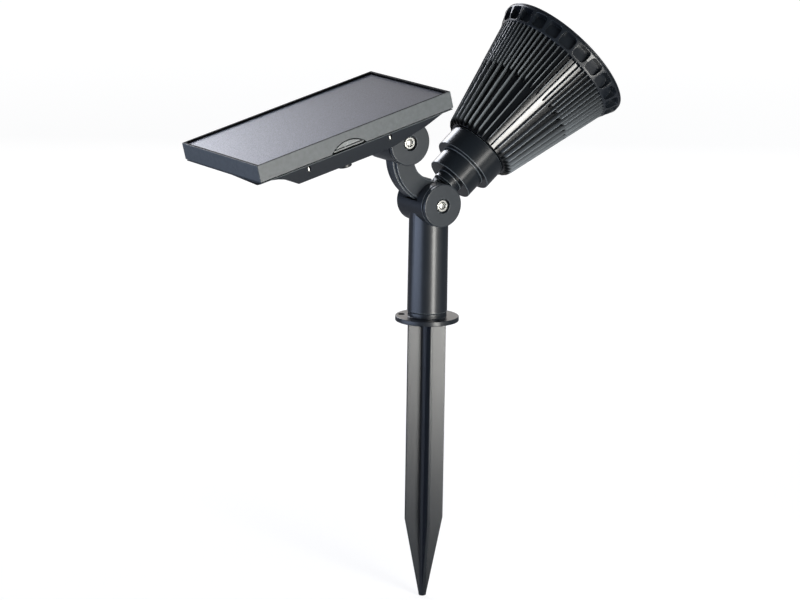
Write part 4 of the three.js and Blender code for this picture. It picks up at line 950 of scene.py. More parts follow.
def blade_tree() -> bpy.types.NodeTree:
    """Tree of blades that stand round an axis on a cone, each with a rounded foot.

    Returns:
        The tree, whose sizes are in mm.
    """
    sizes = ("Start", "End", "Foot radius", "Head radius", "Height", "Width", "Shift", "Foot")
    sockets = {label: "NodeSocketFloat" for label in sizes}
    sockets |= {"Count": "NodeSocketInt", "Finish": "NodeSocketMaterial"}
    tree, given = start_tree("blades_on_cone", sockets)
    add = partial(add_node, tree)
    size = given.outputs
    blank = add(
        Kind.CUBE, {"Size": (1.0, 1.0, 1.0), "Vertices X": 2, "Vertices Y": 2, "Vertices Z": 14}
    )
    unit = add(Kind.SEPARATE, {0: add(Kind.POSITION)})
    share = add(Kind.MATH, {0: unit.outputs["Z"], 1: 0.5}, operation="ADD")
    packed = add(Kind.MATH, {0: share, 1: 4.0}, operation="POWER")
    height = add(Kind.RANGE, {"Value": packed, "To Min": size["Start"], "To Max": size["End"]})
    outer = add(
        Kind.RANGE, {"Value": packed, "To Min": size["Foot radius"], "To Max": size["Head radius"]}
    )
    above = add(Kind.MATH, {0: height, 1: size["Start"]}, operation="SUBTRACT")
    climb = add(Kind.MATH, {0: above, 1: size["Foot"]}, operation="DIVIDE")
    eased = add(Kind.MATH, {0: climb, 1: 0.5}, operation="POWER")
    rise = add(Kind.RANGE, {"Value": eased, "To Min": 0.45, "To Max": 1.0})
    drop = add(Kind.MATH, {0: 0.5, 1: unit.outputs["X"]}, operation="SUBTRACT")
    foot_drop = add(Kind.MATH, {0: 1.0, 1: rise}, operation="SUBTRACT")
    sink = add(Kind.MATH, {0: drop, 1: foot_drop}, operation="MAXIMUM")
    depth = add(Kind.MATH, {0: sink, 1: size["Height"]}, operation="MULTIPLY")
    reach = add(Kind.MATH, {0: outer, 1: depth}, operation="SUBTRACT")
    draft = add(Kind.RANGE, {"Value": drop, "To Min": 0.8, "To Max": 1.25})
    thick = add(Kind.MATH, {0: draft, 1: size["Width"]}, operation="MULTIPLY")
    side = add(Kind.MATH, {0: unit.outputs["Y"], 1: thick}, operation="MULTIPLY")
    where = add(Kind.COMBINE, {"X": reach, "Y": side, "Z": height})
    blade = add(Kind.SET_POSITION, {"Geometry": blank, "Position": where})
    points = add(Kind.POINTS, {"Count": size["Count"]})
    step = add(Kind.MATH, {0: math.tau, 1: size["Count"]}, operation="DIVIDE")
    index = add(Kind.INDEX)
    place = add(Kind.MATH, {0: index, 1: size["Shift"]}, operation="ADD")
    angle = add(Kind.MATH, {0: place, 1: step}, operation="MULTIPLY")
    turn = add(Kind.COMBINE, {"Z": angle})
    ring = add(Kind.INSTANCES, {"Points": points, "Instance": blade, "Rotation": turn})
    end_tree(tree, ring, given)
    return tree


def scatter_tree() -> bpy.types.NodeTree:
    """Tree that puts a sample on every point of a mesh, turned and scaled.

    Returns:
        The tree.
    """
    sockets = {
        "Sample": "NodeSocketObject",
        "Turn": "NodeSocketVector",
        "Size": "NodeSocketVector",
        "Finish": "NodeSocketMaterial",
    }
    tree, given = start_tree("sample_on_points", sockets)
    add = partial(add_node, tree)
    sample = add(Kind.OBJECT, {"Object": given.outputs["Sample"]})
    placed = add(
        Kind.INSTANCES,
        {
            "Points": given.outputs["Geometry"],
            "Instance": sample.outputs["Geometry"],
            "Rotation": given.outputs["Turn"],
            "Scale": given.outputs["Size"],
        },
    )
    end_tree(tree, placed, given)
    return tree


def scattered(
    tree: bpy.types.NodeTree,
    sample: bpy.types.Object,
    places: Sequence[Place],
    turn: Place,
    size: Place,
    finish: Finish,
) -> bpy.types.Object:
    """Puts a sample at several places.

    Args:
        tree: The scatter tree.
        sample: The object that is repeated.
        places: Where it goes.
        turn: Its turn about X, Y and Z in radians.
        size: Its scale along its own X, Y and Z.
        finish: Its finish.

    Returns:
        A plain mesh object of all of them.
    """
    mesh = bpy.data.meshes.new("places")
    mesh.from_pydata([tuple(place) for place in places], [], [])
    body = bpy.data.objects.new("places", mesh)
    bpy.context.scene.collection.objects.link(body)
    values = {"Sample": sample, "Turn": turn, "Size": size, "Finish": material_of(finish)}
    grow(body, tree, values)
    return body


# Frames of the moving parts: from millimetres of a part's own frame to the scene's metres
def frame_at(place: Place, tilt: float = 0.0) -> Matrix:
    """Matrix of a frame at a place in mm, tilted about Y by an angle in degrees."""
    scale = Matrix.Scale(MILLIMETRE, 4)
    return scale @ Matrix.Translation(place) @ Matrix.Rotation(math.radians(tilt), 4, "Y")


LOWER_PIVOT = (0.0, 0.0, 74.7)
UPPER_PIVOT = (-24.6, 0.0, 115.8)
LOWER_DRUM_RADIUS = 13.4
UPPER_DRUM_RADIUS = 13.9
PANEL_TILT = 14.3  # in degrees, as photographed
PANEL_OFFSET = 51.6  # from the panel's middle to the upper pivot, along the panel
PANEL_RISE = 32.0  # of the panel's face above the upper pivot
LAMP_TILT = 50.0  # of the lamp's axis from upright, in degrees
ON_GROUND = frame_at((0.0, 0.0, 0.0))
AT_LOWER = frame_at(LOWER_PIVOT)
AT_UPPER = frame_at(UPPER_PIVOT)
AT_PANEL = frame_at(UPPER_PIVOT, -PANEL_TILT) @ Matrix.Translation(
    (-PANEL_OFFSET, 0.0, PANEL_RISE)
)
AT_LAMP = frame_at(LOWER_PIVOT, LAMP_TILT)


@dataclass(frozen=True)
class PivotStack:
    """Depths and radii of a pivot, measured along Y from the front face of its cap."""

    drum_length: float = 32.0
    cap_thickness: float = 2.4
    cap_edge: float = 0.75
    cap_groove: float = 1.1
    drum_edge: float = 0.45
    spigot_radius: float = 10.9
    spigot_end: float = 6.7
    recess_radius: float = 4.9
    recess_depth: float = 4.0
    slot_start: float = 10.0
    slot_end: float = 21.5
    slot_radius: float = 12.0
    lug_radius: float = 11.6
    bore_radius: float = 2.3
    bolt_radius: float = 2.0
    bolt_end: float = 0.9
    head_radius: float = 3.8
    head_start: float = 29.2
    head_end: float = 31.7
    nut_flats: float = 7.0
    nut_start: float = 0.6
    nut_end: float = 3.7
    gap: float = 0.3

    def turned(
        self, outline: Sequence[Pair], sides: int = SMOOTH, span: Pair = (0.0, 360.0)
    ) -> Shape:
        """Turns an outline of (radius, depth) points about the pivot's axis."""
        centred = [(radius, depth - self.drum_length / 2) for radius, depth in outline]
        return turned(centred, sides, span).moved(ALONG_Y)

    def disc(self, radius: float, start: float, end: float, sides: int = SMOOTH) -> Shape:
        """A disc on the pivot's axis between two depths."""
        return self.turned([(0.0, start), (radius, start), (radius, end), (0.0, end)], sides)

    def slot_room(self, radius: float, span: Pair) -> Shape:
        """The slot of a drum: a round pocket that opens outwards between two angles.

        Args:
            radius: The drum's radius.
            span: Angles in degrees between which it opens.

        Returns:
            The solid that the drum loses.
        """
        opening = arc(ORIGIN, radius + OVERRUN, *span, FINE)
        closed = arc(ORIGIN, self.slot_radius, span[1], span[0] + 360, FINE)
        return self.plate([*opening, *closed], self.slot_start, self.slot_end)

    def plate(self, outline: Sequence[Pair], start: float, end: float) -> Shape:
        """An outline of (x, z) points between two depths."""
        middle = self.drum_length / 2
        return along_y(outline, start - middle, end - middle)

    def drum(self, radius: float, span: Pair) -> bpy.types.Object:
        """Builds a drum with rounded rims, its slot and its hollows.

        Args:
            radius: The drum's radius.
            span: Angles in degrees between which its slot is open.

        Returns:
            The drum.
        """
        front = self.cap_thickness + self.cap_groove
        pocket = self.spigot_radius + self.gap
        seat = self.head_start - self.gap
        corners = [
            (self.bore_radius, self.spigot_end + self.gap),
            (pocket, self.spigot_end + self.gap),
            (pocket, front),
            (radius, front, self.drum_edge),
            (radius, self.drum_length, self.drum_edge),
            (self.recess_radius, self.drum_length, 0.3),
            (self.recess_radius, seat),
            (self.bore_radius, seat),
        ]
        drum = solid(self.turned(rounded(corners)))
        return combine(drum, Join.CUT, self.slot_room(radius, span))

    def cap(self, radius: float) -> Shape:
        """The disc that closes a drum's front, with the nut's recess.

        Args:
            radius: The cap's radius.

        Returns:
            The cap.
        """
        corners = [
            (self.bore_radius, self.recess_depth),
            (self.recess_radius, self.recess_depth),
            (self.recess_radius, 0.0, 0.2),
            (radius, 0.0, self.cap_edge),
            (radius, self.cap_thickness, 0.3),
            (self.spigot_radius, self.cap_thickness),
            (self.spigot_radius, self.spigot_end),
            (self.bore_radius, self.spigot_end),
        ]
        return self.turned(rounded(corners))

    def nut(self) -> bpy.types.Object:
        """A chamfered hexagon nut with its thread's mouth.

        Returns:
            The nut.
        """
        corner = self.nut_flats / 2 / math.cos(math.pi / 6)
        blank = self.disc(corner, self.nut_start, self.nut_end, 6)
        chamfer = self.turned(
            [
                (0.0, self.nut_start),
                (corner - 0.62, self.nut_start),
                (corner + 0.05, self.nut_start + 0.45),
                (corner + 0.05, self.nut_end + 1),
                (0.0, self.nut_end + 1),
            ],
            FINE,
        )
        mouth = self.turned(
            [
                (0.0, self.nut_start - 1),
                (self.bolt_radius + 0.95, self.nut_start - 0.5),
                (self.bolt_radius + 0.2, self.nut_start + 0.35),
                (self.bolt_radius + 0.2, self.nut_end + 1),
                (0.0, self.nut_end + 1),
            ],
            FINE,
        )
        nut = combine(solid(blank), Join.SHARE, chamfer)
        return soften(combine(nut, Join.CUT, mouth), 0.08)

    def bolt(self) -> bpy.types.Object:
        """A bolt with a domed end, a few turns of thread and a socket in its head.

        Returns:
            The bolt.
        """
        pitch = 0.7
        thread: list[Pair] = []
        for turn in range(5):
            depth = self.bolt_end + 0.5 + turn * pitch
            thread += [(self.bolt_radius, depth), (self.bolt_radius - 0.3, depth + pitch / 2)]
        corners: list[tuple[float, ...]] = [
            (0.0, self.bolt_end - 0.15),
            (0.9, self.bolt_end - 0.08),
            (self.bolt_radius - 0.4, self.bolt_end + 0.05),
            *thread,
            (self.bolt_radius, self.bolt_end + 0.5 + 5 * pitch),
            (self.bolt_radius, self.head_start),
            (self.head_radius, self.head_start),
            (self.head_radius, self.head_end, 0.45),
            (0.0, self.head_end),
        ]
        bolt = solid(self.turned(rounded(corners), FINE))
        socket = self.disc(1.75, self.head_end - 1.5, self.head_end + 1, 6)
        return soften(combine(bolt, Join.CUT, socket), 0.08)


STACK = PivotStack()


@dataclass(frozen=True)
class Pivot:
    """Cap, nut and bolt of one pivot."""

    title: str
    radius: float
    place: Matrix
    body: Body

    def build(self) -> None:
        """Builds and dresses the three pieces."""
        cap = paint_edge_highlights(solid(STACK.cap(self.radius)), MATT_ABS)
        for kind, piece, finish in (
            ("cap", cap, MATT_ABS),
            ("nut", STACK.nut(), NICKEL_STEEL),
            ("bolt", STACK.bolt(), NICKEL_STEEL),
        ):
            name, node = f"{self.title}_{kind}_form", f"{self.title}_joint_{kind}"
            finish_piece(piece, name, self.place, finish, self.body, [node])
        dress_nodes(NYLON, f"{self.title}_joint_washer")


@dataclass(frozen=True)
class Stand:
    """Ground spike, base flange and post."""

    fin_reach: float = 12.2
    fin_thickness: float = 1.8
    fin_top: float = 0.2
    straight: float = 127.4
    length: float = 178.1
    tip_reach: float = 2.1
    core_radius: float = 2.6
    turn: float = -18.5
    plug_radius: float = 8.6
    plug_top: float = 20.0
    flange_radius: float = 19.8
    flange_thickness: float = 3.0
    flange_edge: float = 0.5
    counterbore_radius: float = 12.6
    counterbore_depth: float = 0.5
    collar_radius: float = 12.1
    collar_top: float = 5.9
    sleeve_inner: float = 8.9
    sleeve_outer: float = 10.1
    sleeve_top: float = 21.0
    hole_radius: float = 2.1
    hole_circle: float = 16.0
    hole_degrees: tuple[float, ...] = (138.0, 258.0, 18.0)
    post_foot_radius: float = 12.45
    post_head_radius: float = 12.15
    post_foot: float = 6.2
    post_head: float = 73.5
    chamber_radius: float = 10.4
    chamber_top: float = 46.0
    drum_radius: float = LOWER_DRUM_RADIUS
    slot: Pair = (-50.0, 167.0)
    shoulder_gap: float = 0.3
    shoulder_degrees: float = 3.0

    def spike(self) -> bpy.types.Object:
        """Builds the crossed blades, which narrow towards the tip, round their core.

        Returns:
            The spike.
        """
        outline = [
            (self.fin_reach, self.fin_top),
            (-self.fin_reach, self.fin_top),
            (-self.fin_reach, -self.straight),
            (-self.tip_reach, -self.length),
            (self.tip_reach, -self.length),
            (self.fin_reach, -self.straight),
        ]
        half = self.fin_thickness / 2
        blade = along_y(outline, -half, half)
        quarter = Matrix.Rotation(math.radians(90), 4, "Z")
        core = turned(
            [
                (0.0, -self.length),
                (self.tip_reach, -self.length),
                (self.core_radius, -self.straight),
                (self.core_radius, self.fin_top),
                (0.0, self.fin_top),
            ],
            FINE,
        )
        plug = turned(
            rounded(
                [
                    (0.0, -1.0),
                    (self.plug_radius, self.fin_top - 0.1),
                    (self.plug_radius, self.plug_top, 1.5),
                    (0.0, self.plug_top),
                ]
            ),
            FINE,
        )
        cross = combine(solid(blade), Join.ADD, blade.moved(quarter), core, plug)
        soften(cross, 0.35)
        cross.data.transform(Matrix.Rotation(math.radians(self.turn), 4, "Z"))
        return cross

    def flange(self) -> bpy.types.Object:
        """Builds the flange with its collar, sleeve and three countersunk holes.

        Returns:
            The flange.
        """
        corners = [
            (self.sleeve_inner, self.counterbore_depth),
            (self.counterbore_radius, self.counterbore_depth),
            (self.counterbore_radius, 0.0),
            (self.flange_radius, 0.0, self.flange_edge),
            (self.flange_radius, self.flange_thickness, self.flange_edge),
            (self.collar_radius, self.flange_thickness, 0.4),
            (self.collar_radius, self.collar_top, 0.3),
            (self.sleeve_outer, self.collar_top),
            (self.sleeve_outer, self.sleeve_top),
            (self.sleeve_inner, self.sleeve_top),
        ]
        top = self.flange_thickness
        hole = turned(
            [
                (0.0, -OVERRUN),
                (self.hole_radius, -OVERRUN),
                (self.hole_radius, top - 0.35),
                (self.hole_radius + 0.45, top + 0.1),
                (self.hole_radius + 0.45, top + OVERRUN),
                (0.0, top + OVERRUN),
            ],
            FINE,
        )
        holes = []
        for degrees in self.hole_degrees:
            x, y = arc(ORIGIN, self.hole_circle, degrees, degrees, 1)[0]
            holes.append(hole.moved(Matrix.Translation((x, y, 0.0))))
        return combine(solid(turned(rounded(corners))), Join.CUT, holes[0].beside(*holes[1:]))

    def post(self) -> bpy.types.Object:
        """Builds the post and its drum with the slot, which also clears the post's shoulder.

        Returns:
            The post.
        """
        drop = LOWER_PIVOT[2]
        corners = [
            (0.0, self.chamber_top - drop),
            (self.chamber_radius, self.chamber_top - drop),
            (self.chamber_radius, self.post_foot - drop),
            (self.post_foot_radius, self.post_foot - drop, 0.4),
            (self.post_head_radius, self.post_head - drop),
            (0.0, self.post_head - drop),
        ]
        post = solid(turned(rounded(corners)))
        sunk = STACK.disc(self.drum_radius - DRUM_OVERLAP, -OVERRUN, STACK.drum_length + OVERRUN)
        combine(post, Join.CUT, sunk)
        low, high = STACK.slot_start - self.shoulder_gap, STACK.slot_end + self.shoulder_gap
        wider = replace(STACK, slot_start=low, slot_end=high)
        span = (self.slot[0] - self.shoulder_degrees, self.slot[1])
        combine(post, Join.CUT, wider.slot_room(self.drum_radius + OVERRUN, span))
        combine(post, Join.ADD, taken(STACK.drum(self.drum_radius, self.slot)))
        return paint_edge_highlights(soften(post, 0.3), BLACK_ABS)

    def build(self) -> None:
        """Builds and dresses the three pieces."""
        for make, node, place in (
            (self.spike, "ground_spike", ON_GROUND),
            (self.flange, "base_flange", ON_GROUND),
            (self.post, "post", AT_LOWER),
        ):
            finish_piece(make(), f"{node}_form", place, BLACK_ABS, Body.STAND, [node])


@dataclass(frozen=True)
class ScrewSample:
    """A pan-head screw with a cross recess, head up, in units of its head's radius."""

    dome: float = 0.62
    shank: float = 0.46
    length: float = 2.4
    recess: float = 0.16
    recess_reach: float = 0.58
    recess_depth: float = 0.42

    def build(self) -> bpy.types.Object:
        """Builds the screw: domed head, short shank and cross recess.

        Returns:
            The screw.
        """
        corners = [
            (0.0, -self.length),
            (self.shank * 0.6, -self.length),
            (self.shank, -self.length + 0.4),
            (self.shank, 0.0),
            (1.0, 0.0),
            (1.0, self.dome * 0.5, 0.12),
            (0.72, self.dome * 0.92, 0.4),
            (0.0, self.dome),
        ]
        reach, half = self.recess_reach, self.recess / 2
        low, high = self.dome - self.recess_depth, self.dome + 1.0
        one = slab((-reach, -half, low), (reach, half, high))
        other = slab((-half, -reach, low), (half, reach, high))
        head = solid(turned(rounded(corners), SAMPLE_SIDES))
        return soften(combine(head, Join.CUT, one, other), 0.03)


@dataclass(frozen=True)
class Arm:
    """Curved arm between the pivots, its cover and the cover's screws."""

    centre: Pair = (1.5, 30.6)
    outer_radius: float = 30.5
    inner_radius: float = 15.7
    span: Pair = (158.0, 264.0)
    front: float = 10.3
    step_end: float = 13.1
    back: float = 21.2
    step: float = 1.1
    lower_lug_end: float = 15.2
    upper_lug_end: float = 20.1
    cover_thickness: float = 2.6
    cover_span: Pair = (185.0, 237.0)
    screw_degrees: tuple[float, ...] = (191.0, 231.0)
    screw_radius: float = 2.6
    clearance: float = 0.5
    inner_sides: int = 131  # unlike SMOOTH, so that no two cuts share an edge

    def band(self, corners: Sequence[tuple[float, ...]], span: Pair, sides: int = 72) -> Shape:
        """A band round the arm's centre from an outline of (radius, depth) corners.

        Args:
            corners: The outline's corners.
            span: First and last angle in degrees.
            sides: Number of steps round the arm's centre.

        Returns:
            The band.
        """
        shape = STACK.turned(rounded(corners), sides, (-span[1], -span[0]))
        centred = Matrix.Translation((self.centre[0], 0.0, self.centre[1]))
        return shape.moved(centred)

    def body(self) -> bpy.types.Object:
        """Builds the stepped band with a lug at each end.

        Returns:
            The arm.
        """
        low, high = self.inner_radius, self.outer_radius
        section = [
            (low + self.step, self.front, 0.4),
            (high - self.step, self.front, 0.4),
            (high - self.step, self.step_end, 0.25),
            (high, self.step_end, 0.45),
            (high, self.back, 0.45),
            (low, self.back, 0.45),
            (low, self.step_end, 0.45),
            (low + self.step, self.step_end, 0.25),
        ]
        away = Vector(UPPER_PIVOT) - Vector(LOWER_PIVOT)
        to_upper = Matrix.Translation(away)
        depth = STACK.drum_length
        arm = solid(self.band(section, self.span))
        swept = LOWER_DRUM_RADIUS + self.clearance
        inside = STACK.lug_radius - DRUM_OVERLAP
        inner = STACK.disc(inside, -OVERRUN, depth + OVERRUN, self.inner_sides)
        combine(
            arm,
            Join.CUT,
            STACK.disc(swept, self.lower_lug_end, depth),
            STACK.disc(STACK.slot_radius, self.upper_lug_end, depth).moved(to_upper),
            inner,
            inner.moved(to_upper),
        )
        upper = self.lug(self.upper_lug_end).moved(to_upper)
        combine(arm, Join.ADD, self.lug(self.lower_lug_end), upper)
        seat = self.back - self.cover_thickness - STACK.gap
        seat_section = [
            (low - OVERRUN, seat),
            (high + OVERRUN, seat),
            (high + OVERRUN, self.back + OVERRUN),
            (low - OVERRUN, self.back + OVERRUN),
        ]
        seat_span = (self.cover_span[0] - 1, self.cover_span[1] + 1)
        combine(arm, Join.CUT, self.band(seat_section, seat_span))
        return paint_edge_highlights(arm, MATT_ABS)

    def lug(self, end: float) -> Shape:
        """A round lug with its bore, from the arm's front face to a depth.

        Args:
            end: Depth of the lug's far face.

        Returns:
            The lug.
        """
        start, end = self.front + 0.45, end - 0.4
        bore, edge = STACK.bore_radius, STACK.lug_radius
        corners = [(bore, start), (edge, start, 0.35), (edge, end, 0.35), (bore, end)]
        return STACK.turned(rounded(corners))

    def screw_places(self) -> list[Place]:
        """Places of the cover's screw heads, on the cover's seat for them.

        Returns:
            The places.
        """
        middle = (self.outer_radius + self.inner_radius) / 2
        places = []
        for degrees in self.screw_degrees:
            x, z = arc(self.centre, middle, degrees, degrees, 1)[0]
            places.append((x, self.back - STACK.drum_length / 2 - 1.6, z))
        return places

    def cover(self) -> bpy.types.Object:
        """Builds the cover with a well for each screw.

        Returns:
            The cover.
        """
        start = self.back - self.cover_thickness
        section = [
            (self.inner_radius, start),
            (self.outer_radius, start),
            (self.outer_radius, self.back, 0.45),
            (self.inner_radius, self.back, 0.45),
        ]
        cover = solid(self.band(section, self.cover_span))
        wells = [
            rod(self.screw_radius + 0.4, -0.3, 9.0).moved(Matrix.Translation(place) @ ALONG_Y)
            for place in self.screw_places()
        ]
        combine(cover, Join.CUT, wells[0].beside(*wells[1:]))
        return soften(cover, 0.2)

    def build(self, scatter: bpy.types.NodeTree, sample: bpy.types.Object) -> None:
        """Builds and dresses the arm, its cover and its screws.

        Args:
            scatter: Tree that puts a sample on points.
            sample: The screw.
        """
        finish_piece(self.body(), "arm_form", AT_LOWER, MATT_ABS, Body.ARM, ["arm_body"])
        finish_piece(
            self.cover(), "arm_cover_form", AT_LOWER, MATT_ABS, Body.ARM, ["arm_rear_cover"]
        )
        screws = scattered(
            scatter,
            sample,
            self.screw_places(),
            (math.radians(-90), 0.0, 0.0),
            (self.screw_radius,) * 3,
            NICKEL_STEEL,
        )
        nodes = ["arm_cover_screw_1", "arm_cover_screw_2"]
        finish_piece(screws, "arm_screws", AT_LOWER, NICKEL_STEEL, Body.ARM, nodes)


@dataclass(frozen=True)
class Panel:
    """Solar panel: frame, cell sheet, insert, back shell, hatch, button and screws."""

    length: float = 138.7
    width: float = 89.4
    height: float = 10.4
    wall: float = 2.2
    lip: float = 1.9
    lip_height: float = 1.2
    cell_thickness: float = 1.2
    ledge: float = 3.4
    gap: float = 0.3
    rim_top: float = 10.95
    rim_bottom: float = 11.6
    rim_inset: float = 0.5
    floor: float = 21.6
    shell_wall: float = 1.9
    mouth_half: float = 43.2
    floor_half: float = 39.5
    left_mouth: float = -68.0
    mouth_step: float = 4.5
    end_curve: float = 2.3
    end_steps: tuple[float, ...] = (0.0, 0.25, 0.45, 0.62, 0.76, 0.88)
    left_floor: float = -42.0
    right_floor: float = 25.0
    knee: float = 50.0
    knee_depth: float = 16.2
    right_mouth: float = 62.0
    web: Pair = (39.2, 59.6)
    drum_radius: float = UPPER_DRUM_RADIUS
    slot: Pair = (245.0, 373.0)
    screw_x: Pair = (-34.7, 23.6)
    screw_depth: float = 14.3
    screw_face: float = 42.1
    screw_radius: float = 1.6
    screw_slim: float = 0.65
    moon_x: float = -6.5
    moon_width: float = 25.0
    moon_height: float = 5.4
    moon_recess: float = 0.5
    moon_gap: float = 0.75
    sill: Pair = (0.7, 1.45)
    window_foot: float = 2.1
    mark_x: float = -2.6
    hatching: float = 2.1
    hatch_middle: Pair = (-9.0, 12.0)
    hatch_size: Pair = (61.0, 36.0)
    hatch_corner: float = 3.0
    hatch_screw_span: float = 26.8
    hatch_screw_radius: float = 2.1
    button_place: Pair = (-5.0, -31.6)
    button_radius: float = 4.4
    button_end: float = 24.6

    def plate(self, inset: float, top: float, bottom: float, corner: float = 0.4) -> Shape:
        """A plate of the panel's outline, less an inset, between two depths."""
        outline = box_outline(self.length - 2 * inset, self.width - 2 * inset, corner)
        return prism(outline, -bottom, -top)

    def moon(self, inset: float, start: float, end: float, drop: float = 0.0) -> Shape:
        """The half-moon outline, less an inset, extruded along Y and reaching down by a drop.

        Args:
            inset: What the outline loses all round.
            start: Y of its near face.
            end: Y of its far face.
            drop: How far it reaches below the frame's edge.

        Returns:
            The half-moon.
        """
        half = self.moon_width / 2 - inset
        rise = self.moon_height - inset
        radius = (half * half + rise * rise) / (2 * rise)
        reach = math.degrees(math.asin(half / radius))
        centre = (self.moon_x, -self.height + rise - radius)
        outline = arc(centre, radius, 90 - reach, 90 + reach, 48)
        if drop:
            low = -self.height - drop
            outline += [(outline[-1][0], low), (outline[0][0], low)]
        return along_y(outline, start, end)

    def frame(self) -> bpy.types.Object:
        """Builds the frame with its lip, ledge and half-moon window.

        Returns:
            The frame, with its own two materials.
        """
        seat = self.lip_height + self.cell_thickness + self.gap
        body = solid(self.plate(0.0, 0.0, self.height, 0.7))
        face = -self.width / 2
        combine(
            body,
            Join.CUT,
            self.plate(self.lip, -OVERRUN, seat),
            self.plate(self.wall, seat + 1.2, self.height + OVERRUN),
            self.plate(self.lip + self.ledge, -OVERRUN, self.height + OVERRUN),
            self.moon(0.0, face - OVERRUN, face + self.wall + OVERRUN, OVERRUN),
        )
        soften(body, 0.28)
        mesh = body.data
        mesh.materials.append(material_of(FRAME_ABS))
        mesh.materials.append(material_of(LIP_ABS))
        reach = Vector((self.length / 2, self.width / 2))
        for polygon in mesh.polygons:
            x, y, z = polygon.center
            inside = abs(x) < reach.x - 0.2 and abs(y) < reach.y - 0.2
            polygon.material_index = 1 if inside and z > -seat else 0
        return body

    def insert(self) -> bpy.types.Object:
        """Builds the half-moon insert: a hatched window, a sill below it and a mark.

        Returns:
            The insert.
        """
        face = -self.width / 2 + self.moon_recess
        back = face + 1.1
        window = solid(self.moon(self.moon_gap, face, back))
        half = self.moon_width / 2
        left, right, low = self.moon_x - half, self.moon_x + half, -self.height
        foot = slab((left, face - 1, low - 1), (right, back + 1, low + self.window_foot))
        combine(window, Join.CUT, foot)
        sill = slab(
            (left + 1.9, face - 0.2, low + self.sill[0]),
            (right - 1.9, back - 0.2, low + self.sill[1]),
        )
        mark_x = self.moon_x + self.mark_x
        mark = slab(
            (mark_x - 0.3, face - 0.2, low + self.sill[0] + 0.2),
            (mark_x + 0.3, back - 0.2, low + self.moon_height * 0.7),
        )
        slant = Matrix.Rotation(math.radians(28), 4, "Y")
        room = self.moon(self.moon_gap + 0.3, face - 0.15, back - 0.3)
        hatches = []
        for index in range(-3, 6):
            place = Matrix.Translation((self.moon_x + index * self.hatching, 0.0, low + 3.6))
            bar = slab((-0.16, face - 0.12, -4.0), (0.16, back - 0.3, 4.0))
            hatches.append(bar.moved(place @ slant))
        lines = combine(solid(hatches[0].beside(*hatches[1:])), Join.SHARE, room)
        combine(lines, Join.CUT, foot)
        return soften(combine(window, Join.ADD, taken(lines), mark, sill), 0.06)

    def tray(self, inset: float, top: float) -> bpy.types.Object:
        """A tapered box: the shell's outside or its hollow.

        Args:
            inset: Wall that the hollow leaves; 0 for the outside.
            top: Height of its top.

        Returns:
            The box.
        """
        floor = -self.floor + inset
        mouth = self.left_mouth + self.mouth_step * inset
        foot = self.left_floor + inset
        depth = self.floor - self.rim_bottom - inset
        long = [
            *(
                (mouth + (foot - mouth) * share, -self.rim_bottom - depth * share**self.end_curve)
                for share in self.end_steps
            ),
            (foot, floor),
            (self.right_floor - inset / 2, floor),
            (self.knee - inset, -self.knee_depth + inset),
            (self.right_mouth - inset * 2, -self.rim_bottom),
            (self.right_mouth - inset * 2, top),
            (mouth, top),
        ]
        low, high = self.floor_half - inset, self.mouth_half - inset
        across = [
            (-low, -self.floor - OVERRUN),
            (low, -self.floor - OVERRUN),
            (low, -self.floor),
            (high, -self.rim_bottom),
            (high, top),
            (-high, top),
            (-high, -self.rim_bottom),
            (-low, -self.floor),
        ]
        lengthwise = solid(along_y(long, -self.width, self.width))
        crosswise = prism(across, -self.length, self.length).moved(ALONG_X)
        return combine(lengthwise, Join.SHARE, crosswise)

    def from_pivot(self) -> Matrix:
        """Matrix from the upper pivot's millimetres to the panel's."""
        place = Matrix.Translation((PANEL_OFFSET, 0.0, -PANEL_RISE))
        return place @ Matrix.Rotation(math.radians(PANEL_TILT), 4, "Y")

    def screw_places(self, side: int) -> list[Place]:
        """Places of the side screws on one side, where their heads meet the wells."""
        return [(x, side * (self.screw_face - 0.9), -self.screw_depth) for x in self.screw_x]

    def shell(self) -> bpy.types.Object:
        """Builds the back shell: rim, tapered box, web and drum with its slot.

        Returns:
            The shell, with its own two materials.
        """
        shell = self.tray(0.0, -self.rim_bottom + 0.45)
        combine(shell, Join.ADD, self.plate(self.rim_inset, self.rim_top, self.rim_bottom))
        front = STACK.cap_thickness + STACK.cap_groove - STACK.drum_length / 2
        web = slab(
            (self.web[0], front + 0.7, -PANEL_RISE),
            (self.web[1], STACK.drum_length / 2 - 0.7, -self.rim_bottom - self.shell_wall),
        )
        combine(shell, Join.ADD, web)
        combine(shell, Join.CUT, taken(self.tray(self.shell_wall, -self.rim_top + OVERRUN)))
        to_panel = self.from_pivot()
        inner = self.drum_radius - DRUM_OVERLAP
        room = STACK.disc(inner, STACK.cap_thickness, STACK.drum_length + OVERRUN)
        combine(shell, Join.CUT, room.moved(to_panel))
        drum = taken(STACK.drum(self.drum_radius, self.slot)).moved(to_panel)
        combine(shell, Join.ADD, drum)
        wells = []
        for side in (-1, 1):
            turn = Matrix.Rotation(math.radians(-90 * side), 4, "X")
            for place in self.screw_places(side):
                outline = box_outline(
                    2 * self.screw_slim + 0.8, 2 * self.screw_radius + 0.8, self.screw_slim
                )
                well = prism(outline, -0.3, 9.0)
                wells.append(well.moved(Matrix.Translation(place) @ turn))
        button = rod(self.button_radius + 0.25, -self.floor - 1, -self.floor + 3)
        hatch = prism(
            box_outline(*self.hatch_size, self.hatch_corner, self.hatch_middle),
            -self.floor - 1,
            -self.floor + 1.9,
        )
        at_button = Matrix.Translation((*self.button_place, 0.0))
        combine(shell, Join.CUT, wells[0].beside(*wells[1:]), button.moved(at_button), hatch)
        soften(shell, 0.3)
        shell.data.materials.append(material_of(BLACK_ABS))
        shell.data.materials.append(material_of(FRAME_ABS))
        for polygon in shell.data.polygons:
            polygon.material_index = int(polygon.center.z > -self.rim_bottom - 0.1)
        return shell

